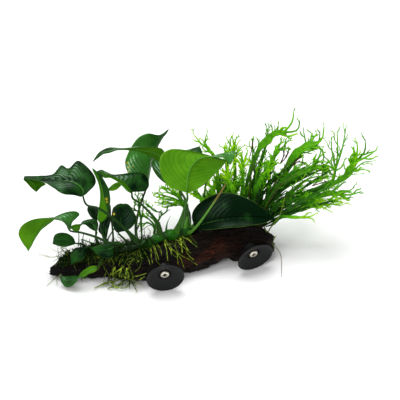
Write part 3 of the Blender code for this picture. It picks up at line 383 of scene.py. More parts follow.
def screw_shape(steps):
    """Head and shank as rows about the Z axis: the head's top is a low dome, sunk where it lies
    within either arm of the cross."""
    turn = circle(steps)[None]
    r = np.linspace(0.02, HEAD_RADIUS - 0.5, 26)[::-1, None]
    x, y = np.abs(r * np.cos(turn)), np.abs(r * np.sin(turn))
    arm = np.minimum(np.maximum((x - RECESS_WIDE) / 0.25, (y - RECESS_LONG) / 0.3),
                     np.maximum((y - RECESS_WIDE) / 0.25, (x - RECESS_LONG) / 0.3))
    sunk = np.clip(0.5 - arm / 2, 0, 1)
    top = HEAD_TOP - 0.9 * (r / HEAD_RADIUS) ** 3 - RECESS_DEEP * sunk
    dome = np.stack((r * np.cos(turn), r * np.sin(turn), top), -1)
    point = [(0.3, SHANK_END), (0.9, SHANK_END + 1.6), (SHANK_RADIUS, SHANK_END + 4),
             (SHANK_RADIUS, HEAD_UNDER)]
    rim = [(HEAD_RADIUS - 0.2, HEAD_UNDER), (HEAD_RADIUS, HEAD_UNDER + 0.2), (HEAD_RADIUS, HEAD_RIM),
           (HEAD_RADIUS - 0.12, HEAD_RIM + 0.45), (HEAD_RADIUS - 0.35, HEAD_RIM + 0.75)]
    body = turned(point + rim, steps)
    return np.concatenate((body, dome)), np.concatenate((np.zeros(body.shape[:2]), sunk))


# Stainless steel, turned: bright warm grey with fine rings, and painted shade that makes the cross recess
# nearly black
steel, tree, shader = new_material("stainless_steel", Metallic=1.0)
stain, bright = clouded(tree, 400.0, 3.0, "#b9b3a2", "#e6e1d2")
painted_recess_shade = node(tree, "Attribute", out="Fac", attribute_name="recess_shade")
# Painted shade: the recess mark mixes the steel's colour to near-black inside the cross
tint = node(tree, "Mix", {0: painted_recess_shade, 6: bright, 7: linear("#15120f")}, 2, data_type="RGBA")
rough = node(tree, "MapRange", {0: stain, 1: 0.3, 2: 0.7, 3: 0.28, 4: 0.45})
wire(shader, {"Base Color": tint, "Roughness": rough})

for side, cup in CUPS.items():
    shape, sunk = screw_shape(SCREW_STEPS)
    screw = make_piece("cup_screw_" + side + "_steel",
                       [dict(at=on_axis(shape, cup["centre"], cup["faces"]), recess_shade=sunk)], [steel])
    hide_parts("cup_screw_" + side)

# ================================================================ the anubias rhizome and its roots
# The creeping stem, a little thicker than a pencil: smooth, glossy and green, and swollen where old
# leaves sat. Its roots have grown over the wood's front and grip it.
ANUBIAS_RHIZOME = [
    (-118, -50, 14), (-100, -48, 20), (-84, -48.5, 25.5), (-68, -47, 27.5), (-54, -43.5, 25.5),
    (-42, -38, 21), (-29, -34.5, 16), (-14, -31.5, 10), (-6, -30.5, 7.5),
]
RHIZOME_RADIUS, ROOT_RADIUS = 2.9, 0.8
RHIZOME_ROWS, RHIZOME_SIDES, ROOT_ROWS, LONG_ROWS = 240, 40, 22, 16
LUMPS = [  # where old leaf bases swell the stem: across, height and half width
    (-104, 0.8, 5), (-91, 1.2, 4), (-78, 0.9, 5), (-66, 1.2, 5), (-54, 1.0, 4.5), (-42.5, 1.5, 4),
    (-29, 1.8, 5), (-14, 0.9, 5),
]
ROOTS = [  # the thick ones: (across, degrees round the wood from its top)
    [(-108, 60), (-112, 85), (-113, 110), (-116, 132)], [(-93, 66), (-91, 82), (-90, 98), (-86, 110)],
    [(-72, 70), (-73, 84), (-75, 96), (-79, 108)], [(-59, 62), (-58, 84), (-60, 104), (-65, 118)],
    [(-46, 52), (-44, 74), (-43, 92), (-39, 106)], [(-33, 46), (-29, 66), (-27, 86), (-22, 100)],
    [(-24, 42), (-18, 58), (-14, 74), (-11, 88)], [(-17, 40), (-12, 54), (-8, 66), (-3, 80)],
]
LONG_ROOTS = [  # the ones that stand out: across and up along each, as seen in the picture, and its width
    ([(-19.6, -35), (-18.6, -44.3), (-17.5, -53)], 2.2),
    ([(-17, -39), (-14.3, -46.4), (-12.5, -50)], 1.5), ([(-14, -51), (-10, -56.4), (-6, -59.6)], 1.0),
    ([(-28, -40), (-22, -51.4), (-17.9, -55.7), (-10.7, -59.3), (-2.5, -65)], 1.4),
    ([(-26, -50), (-19.3, -58), (-17.9, -62), (-15.7, -68)], 1.3),
    ([(-34, -42), (-29.3, -50), (-28.2, -55)], 1.4),
    ([(-36, -37), (-34.6, -44.3), (-32.9, -51.4), (-31.8, -63.5)], 1.5),
    ([(-47, -41), (-44.3, -48.6), (-42.1, -55), (-40.7, -59.6)], 1.2),
    ([(-49, -45), (-48.2, -57), (-46.8, -63.6)], 1.1),
    ([(-58, -47), (-53.6, -54.3), (-51.1, -58.6), (-49.6, -64.3)], 1.3),
    ([(-29, -48), (-20.7, -54.3)], 1.0), ([(-23, -50), (-21.8, -64.3)], 1.1),
    ([(-44, -42), (-39.3, -48.6), (-37.9, -55)], 1.1),
    ([(-16, -36), (-10.7, -38.6), (-7.9, -40.7)], 0.8), ([(-62, -48), (-59, -55), (-58, -61)], 1.0),
    ([(-67, -50), (-66, -58), (-63, -63)], 1.0), ([(-22, -42), (-14, -49), (-9, -53)], 0.9),
]
FINE_ROOTS = 104


def steps(path):
    """The length of each step along a path."""
    return np.linalg.norm(np.diff(path, axis=0), axis=1)


def evenly(curve, rows, first=0.0, last=1.0):
    """The curve, or rows of curves, at equal steps of its length, from one share of it to another."""
    flat = curve.reshape(len(curve), -1)
    length = np.concatenate(([0.0], np.cumsum(steps(flat)))) / steps(flat).sum()
    wanted = np.linspace(first, last, rows)
    columns = [np.interp(wanted, length, column) for column in flat.T]
    return np.stack(columns, -1).reshape((rows,) + curve.shape[1:])


def drawn(places, rows):
    """A smooth curve through the places, at equal steps."""
    return evenly(smooth(places), rows)


def rings_round(lines, radii, sides=8, flat=1.0, normals=None):
    """Rings square to many lines at once: (many, rows, 3) lines and (many, rows) radii give (many, rows,
    sides, 3). A ring is an ellipse, `flat` times as thick along the normal as it is wide."""
    tangent = unit(np.gradient(lines, axis=1))
    if normals is None:
        normals = np.linalg.svd(tangent, full_matrices=False)[2][:, 2]
    side = unit(np.cross(tangent, normals[:, None]))
    top = np.cross(tangent, side)
    turn = circle(sides)[:, None]
    spokes = np.cos(turn) * side[:, :, None] + flat * np.sin(turn) * top[:, :, None]
    return lines[:, :, None] + radii[:, :, None, None] * spokes


def tube(path, radii, sides, lumps=None):
    """Rings along one path, each of their places as many times as far from the path as its lump says."""
    rings = rings_round(path[None], radii[None], sides)[0]
    return rings if lumps is None else path[:, None] + (rings - path[:, None]) * lumps[..., None]


def keep_in(points):
    """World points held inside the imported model's box and on the floor."""
    low, high = (np.array(corner) for corner in cad_box)
    return np.clip(points, low + (0.0001, 0.0001, 0.0003), high - 0.0001)


def grown(places):
    """World points of something grown, from its places."""
    return keep_in(to_world(places))


def front_out(across, up):
    """How far out the wood's front lies under a place in the picture, or the floor where that is nearer.
    A place above the wood is as far out as the wood's upper front edge."""
    line = smooth(WOOD)
    middle, radius = (np.interp(across, line[:, 0], line[:, i]) for i in (1, 3))
    part = (up - middle) / radius
    wood = np.where(part > -1, wood_place(across, np.arccos(np.clip(part, -1, 0.9)))[..., 2], -99.0)
    return np.maximum(wood, -(ORIGIN[2] + up * UP[2]) / OUT[2])


def laid_lines(routes, lift, rows, humps, seed):
    """Lines through picture places, lying `lift` off whatever is behind them, in low humps."""
    rng = np.random.default_rng(seed)
    made = []
    for route in routes:
        flat = evenly(smooth(route, 8), rows)
        hump = humps * np.sin(np.linspace(0, math.pi * rng.uniform(1, 3), rows)) ** 2 + lift
        made.append(np.column_stack((flat, front_out(flat[:, 0], flat[:, 1]) + hump)))
    return np.stack(made)


def traced_roots(traced, lift, rows, humps, seed, size, ends):
    """Lines and radii of the roots that stand out in the picture: `size` of the width given for each,
    times a share that runs evenly between the two ends."""
    radii = np.array([[size * width] for _, width in traced]) * np.linspace(*ends, rows)
    return laid_lines([route for route, _ in traced], lift, rows, humps, seed), radii


def stray_lines(starts, ends, bulge, rng, rows=9):
    """Lines from starts to ends (both (many, 3)), bent by three random half waves of at most bulge."""
    s = np.linspace(0, 1, rows)[None, :, None]
    lines = starts[:, None] * (1 - s) + ends[:, None] * s
    for waves in (1, 2, 3):
        swing = bulge / waves * rng.uniform(-1, 1, (len(starts), 1, 3))
        lines = lines + swing * np.sin(math.pi * waves * s)
    return lines


def threads(lines, rng, sizes, ages, power=1, sides=4, end=0.5, finish=0):
    """A sheet of threads: each line with a random radius at its foot and `end` of that at its tip, and
    with a random age raised to the power."""
    radii = rng.uniform(*sizes, (len(lines), 1)) * np.linspace(1, end, lines.shape[1])
    age_and_shade = rng.uniform(*ages, (len(lines), 1, 1)) ** power
    return dict(at=grown(rings_round(lines, radii, sides)), finish=finish, age_and_shade=age_and_shade)


GREEN_GLOSS = linear("#b4e0ba")  # a clear skin's gloss, tinted by the green under it

# Living stem: thin glossy skin, green, darkened towards brown-black where it is old and where painted shade
# lies on it, and pale where its age is below nought
stem_finish, tree, shader = new_material("anubias_stem_skin", Specular_IOR_Level=0.2,
                                         Specular_Tint=GREEN_GLOSS)
age_and_shade = node(tree, "Attribute", out="Fac", attribute_name="age_and_shade")
cloud, green = clouded(tree, 160.0, 4.0, "#062c03", "#276e0a")
fresh = node(tree, "MapRange", {0: age_and_shade, 1: -1.0, 2: 0.0, 3: 1.0, 4: 0.0})
pale = node(tree, "Mix", {0: fresh, 6: green, 7: linear("#5f9c34")}, 2, data_type="RGBA")
aged = node(tree, "Mix", {0: age_and_shade, 6: pale, 7: linear("#0c1406")}, 2, data_type="RGBA")
gloss = node(tree, "MapRange", {0: cloud, 1: 0.3, 2: 0.7, 3: 0.16, 4: 0.34})
bump = node(tree, "Bump", {"Height": cloud, "Strength": 0.3, "Distance": 0.0004})
wire(shader, {"Base Color": aged, "Roughness": gloss, "Normal": bump})

# Roots: firm, matt, yellow-green where they are young and brown where they have died back
root_finish, tree, shader = new_material("living_roots", Specular_IOR_Level=0.15, Roughness=0.6)
age_and_shade = node(tree, "Attribute", out="Fac", attribute_name="age_and_shade")
place = node(tree, "TexCoord", out="Object")
cloud = node(tree, "TexNoise", {"Vector": place, "Scale": 260.0, "Detail": 2.0})
cloud = node(tree, "MapRange", {0: cloud, 1: 0.32, 2: 0.68})
young = node(tree, "Mix", {0: cloud, 6: linear("#1c4a08"), 7: linear("#a6bc32")}, 2, data_type="RGBA")
aged = node(tree, "Mix", {0: age_and_shade, 6: young, 7: linear("#1c2c0a")}, 2, data_type="RGBA")
wire(shader, {"Base Color": aged})

line = drawn(ANUBIAS_RHIZOME, RHIZOME_ROWS)
share = np.linspace(0, 1, RHIZOME_ROWS)[:, None]
turn = circle(RHIZOME_SIDES)[None]
swell = sum(height * np.exp(-((line[:, 0] - place) / wide) ** 2) for place, height, wide in LUMPS)
fuller = np.clip((line[:, 0] + 72) / 16, 0, 1)  # the younger part, towards the growing end
round_end = np.clip(np.sin(np.linspace(0.03, 1, RHIZOME_ROWS) * math.pi) * 9, 0, 1) ** 0.5
radii = (RHIZOME_RADIUS + fuller + swell) * round_end
bumpy = lattice(share + 0 * turn, turn / 6.2832 + 0 * share, cells=(30, 5), seed=14, ring=True)
lump = 1 + 0.07 * np.sin(3 * turn + line[:, :1] / 5) + 0.12 * bumpy
# Painted shade: the stem's left part, under the leaves and the moss, is darkened towards near-black
painted_shade = np.clip((-40 - line[:, 0]) / 25, 0, 0.95)
# Between the swellings the stem is darker, partly from real leaf-scar rings and partly as painted shade in
# the creases
darkening = np.maximum(np.clip(1.2 - swell, 0, 1) * 0.85, painted_shade)
sheets = [dict(at=grown(tube(line, radii, RHIZOME_SIDES, lump)), age_and_shade=darkening[:, None])]
rng = np.random.default_rng(11)
thick = []
for route in ROOTS:
    laid = [wood_place(across, math.radians(turn), ROOT_RADIUS + 0.9) for across, turn in route]
    start = line[np.linalg.norm(line - laid[0], axis=1).argmin()]
    thick.append(drawn([start] + laid, ROOT_ROWS))
foot = line[(rng.uniform(0.1, 0.98, FINE_ROOTS) * (RHIZOME_ROWS - 1)).astype(int)]
drop = rng.uniform(4, 15, FINE_ROOTS)
routes = [[(x, y + 1), (x + dx * 0.5 + jog, y - d * 0.5), (x + dx, y - d)] for x, y, dx, d, jog in
          zip(foot[:, 0], foot[:, 1], rng.normal(1, 7, FINE_ROOTS), drop, rng.uniform(-3, 3, FINE_ROOTS))]
lines, radii = traced_roots(LONG_ROOTS, lift=0.9, rows=LONG_ROWS, humps=1.2, seed=13, size=0.39,
                            ends=(1.05, 0.6))
darkening = rng.uniform(-0.2, 0.7, (len(LONG_ROOTS), 1, 1)) * np.linspace(1.4, 0.4, LONG_ROWS)[:, None]
sheets.append(dict(at=grown(rings_round(lines, radii)), finish=1, age_and_shade=darkening))
radii = ROOT_RADIUS * np.linspace(0.7, 1, len(thick))[:, None] * np.linspace(1, 0.45, ROOT_ROWS)
darkening = np.linspace(1.0, 0.3, len(thick))[:, None, None]
sheets.append(dict(at=grown(rings_round(np.stack(thick), radii)), finish=1, age_and_shade=darkening))
fine = laid_lines(routes, lift=0.5, rows=14, humps=1.6, seed=12)
sheets.append(threads(fine, rng, sizes=(0.24, 0.5), ages=(0.1, 1.2), power=0.6, sides=6, finish=1))
rhizome = make_piece("anubias_rhizome_stem", sheets, [stem_finish, root_finish])
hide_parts("anubias_rhizome")

# ================================================================ the root tuft
# Where the roots reach the floor in front of the wood they have matted into a bundle: wiry strands
# that loop out and back, green where they live and brown where they have dried.
TUFT_STRANDS, TUFT_ROWS = 28, 16
TUFT_ROUTES = [  # the strands that stand out: across and up along each, and its width
    ([(-72.5, -67.5), (-76, -81), (-90, -87.5)], 1.3), ([(-80, -79), (-92, -82.5), (-105, -87.5)], 1.4),
    ([(-94, -82), (-101, -85.5)], 1.0),
    ([(-89, -81), (-85, -86), (-76, -87.5), (-70, -84), (-70.5, -80)], 1.3),
    ([(-90, -80), (-84, -84), (-78, -85), (-72, -81)], 1.0),
    ([(-69, -80), (-66, -85), (-62.5, -91)], 1.2), ([(-67.5, -82), (-57.5, -84)], 0.9),
    ([(-75, -66), (-85, -72.5), (-89, -74)], 1.2), ([(-72, -69), (-70.6, -79)], 1.3),
    ([(-78, -68), (-80, -76), (-77, -84)], 1.2), ([(-66, -76), (-60, -75), (-52.5, -72.5)], 0.9),
    ([(-70, -79), (-62, -80), (-55, -76)], 1.0), ([(-92, -88), (-86, -86.5), (-82, -88)], 1.2),
    ([(-84, -66), (-87, -74), (-84, -80)], 1.0),
]

rng = np.random.default_rng(21)
routes = []
for k in range(TUFT_STRANDS):
    x, y = rng.uniform(-94, -68), rng.uniform(-74, -64)
    bend, end = rng.uniform(-5, 5, 2), (x + rng.uniform(-9, 9), rng.uniform(-88, -78))
    routes.append([(x, y), ((x + end[0]) / 2 + bend[0], (y + end[1]) / 2 + bend[1] / 2), end])
inner = laid_lines(routes, lift=0.8, rows=TUFT_ROWS, humps=6.0, seed=22)
outer, outer_radii = traced_roots(TUFT_ROUTES, lift=2.5, rows=TUFT_ROWS, humps=3.5, seed=23, size=0.47,
                                  ends=(1.1, 0.7))
inner_radii = rng.uniform(0.22, 0.45, (TUFT_STRANDS, 1)) * np.linspace(1, 0.6, TUFT_ROWS)
lines = to_world(np.concatenate((inner, outer)))
radii = np.concatenate((inner_radii, outer_radii)) / 1000
darkening = np.concatenate((rng.uniform(0.0, 1.1, TUFT_STRANDS), rng.uniform(-0.4, 0.3, len(TUFT_ROUTES))))
strands = dict(at=keep_in(rings_round(lines, radii, sides=7)), age_and_shade=darkening[:, None, None])
tuft = make_piece("root_tuft_strands", [strands], [root_finish])
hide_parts("root_tuft")

# ================================================================ the moss and the root hairs
# The wood's left half is overgrown: dark curly moss, dead and living root hairs, and shreds of old
# leaf, all tangled round the anubias stem. It is soft, dull and nearly black, with pale loose ends.
MOSS_CURLS, MOSS_SHREDS, ROOT_TANGLE, PALE_HAIRS = 1200, 380, 150, 100
MOSS_BULGE, SHRED_ROWS, FALLEN_ROWS = 2.2, 7, 40
LOOSE_ROOTS = [  # across and up along each of the fine pale roots at the left, and its width
    ([(-140, -56), (-150, -57), (-161, -54)], 0.8), ([(-141, -58), (-147, -61.6)], 0.7),
    ([(-150, -57), (-156, -54)], 0.6), ([(-138, -53), (-146, -50), (-150, -46)], 0.6),
    ([(-138, -74), (-146, -79), (-152.6, -85.5)], 0.8),
    ([(-139, -76), (-142.5, -79), (-142.5, -85)], 0.7),
    ([(-119, -79), (-113, -78), (-107, -79.5)], 0.8), ([(-119, -79), (-116, -82)], 0.5),
    ([(-136, -60), (-142, -63), (-144, -66)], 0.5), ([(-131, -50), (-138, -47), (-141, -49)], 0.5),
]

# Moss: dull and nearly black where it is young, pale grey-green where it has died
moss_finish, tree, shader = new_material("dark_moss", Specular_IOR_Level=0.05, Roughness=0.8)
age_and_shade = node(tree, "Attribute", out="Fac", attribute_name="age_and_shade")
fresh = clouded(tree, 200.0, 3.0, "#040a02", "#17330a")[1]
pale = node(tree, "Mix", {0: age_and_shade, 6: fresh, 7: linear("#93a06a")}, 2, data_type="RGBA")
wire(shader, {"Base Color": pale})

# A root that has dried out: matt, in patches from brown to grey-pink
dry_finish, tree, shader = new_material("dry_root", Specular_IOR_Level=0.1, Roughness=0.7)
wire(shader, {"Base Color": clouded(tree, 500.0, 2.0, "#5a3a24", "#a88d78")[1]})


def tangle(rng, count, first, last, low, high, length, rows=6):
    """Curls that leave the wood's skin between two places along it and two turns round it: each goes
    out from the skin and bends by random half waves."""
    across = first + (last - first) * rng.uniform(0, 1, count)
    turn = np.radians(rng.uniform(low, high, count))
    foot = wood_place(across, turn, -0.3)
    away = unit(wood_place(across, turn, 1.0) - foot)
    way = unit(away + rng.normal(0, 0.9, (count, 3)))
    ends = foot + way * rng.uniform(*length, (count, 1))
    return stray_lines(foot, ends, MOSS_BULGE, rng, rows)


rng = np.random.default_rng(51)
curls = tangle(rng, MOSS_CURLS, first=-141, last=-54, low=-30, high=80, length=(2.0, 7.0))
sheets = [threads(curls, rng, sizes=(0.18, 0.36), ages=(-0.1, 0.45), power=3)]
shreds = tangle(rng, MOSS_SHREDS, first=-138, last=-50, low=-20, high=85, length=(2.5, 6.0),
                rows=SHRED_ROWS)
width = rng.uniform(0.7, 1.6, (MOSS_SHREDS, 1)) * np.sin(np.linspace(0.25, math.pi - 0.1, SHRED_ROWS))
flat_ways = unit(rng.normal(0, 1, (MOSS_SHREDS, 3)))
sheets.append(dict(at=grown(rings_round(shreds, width, 4, flat=0.25, normals=flat_ways)), age_and_shade=0.0))
foot = line[(rng.uniform(0, 0.62, MOSS_CURLS // 2) * (RHIZOME_ROWS - 1)).astype(int)]
foot = foot + rng.normal(0, 2.2, foot.shape)
over = stray_lines(foot, foot + rng.normal(0, 3.5, foot.shape) + (0, 1.5, 1), 2.5, rng, rows=7)
sheets.append(threads(over, rng, sizes=(0.2, 0.5), ages=(-0.2, 0.35), power=3))
x, y = rng.uniform(-140, -60, ROOT_TANGLE), rng.uniform(-62, -47, ROOT_TANGLE)
start = np.column_stack((x, y))
ends = start + rng.normal(0, 5.5, start.shape) + (0, -4)
routes = np.stack((start, (start + ends) / 2 + rng.normal(0, 1.8, start.shape), ends), 1)
matted = laid_lines(routes, lift=0.6, rows=9, humps=3.0, seed=53)
sheets.append(threads(matted, rng, sizes=(0.16, 0.4), ages=(0.1, 1.2), finish=1))
hairs = tangle(rng, PALE_HAIRS, first=-89, last=-66, low=-40, high=25, length=(4.0, 10.0), rows=8)
sheets.append(threads(hairs, rng, sizes=(0.15, 0.28), ages=(0.4, 1.3), end=1))
lines, radii = traced_roots(LOOSE_ROOTS, lift=1.0, rows=14, humps=1.5, seed=52, size=0.5, ends=(1, 0.5))
sheets.append(dict(at=grown(rings_round(lines, radii, sides=5)), age_and_shade=0.95))
fallen = [  # single roots at the wood's right end, two fresh and one dry: places, radius, age and finish
    ([(68, -40, -10), (74.4, -45.4, -11), (80, -53, -16), (81.8, -61, -14), (81.4, -77.3, 5)],
     0.42, 1.0, 2),
    ([(70, -44, -9), (73, -41, -8), (76.5, -35.5, -8)], 0.7, -0.6, 1),
    ([(69, -38, -9), (72, -43, -5), (75, -49, -3)], 0.35, 0.2, 1),
]
for path, radius, aged, finish in fallen:
    rings = tube(drawn(path, FALLEN_ROWS), radius * np.linspace(1, 0.5, FALLEN_ROWS), sides=8)
    sheets.append(dict(at=grown(rings), finish=finish, age_and_shade=aged))
moss = make_piece("moss_and_root_hairs", sheets, [moss_finish, root_finish, dry_finish])

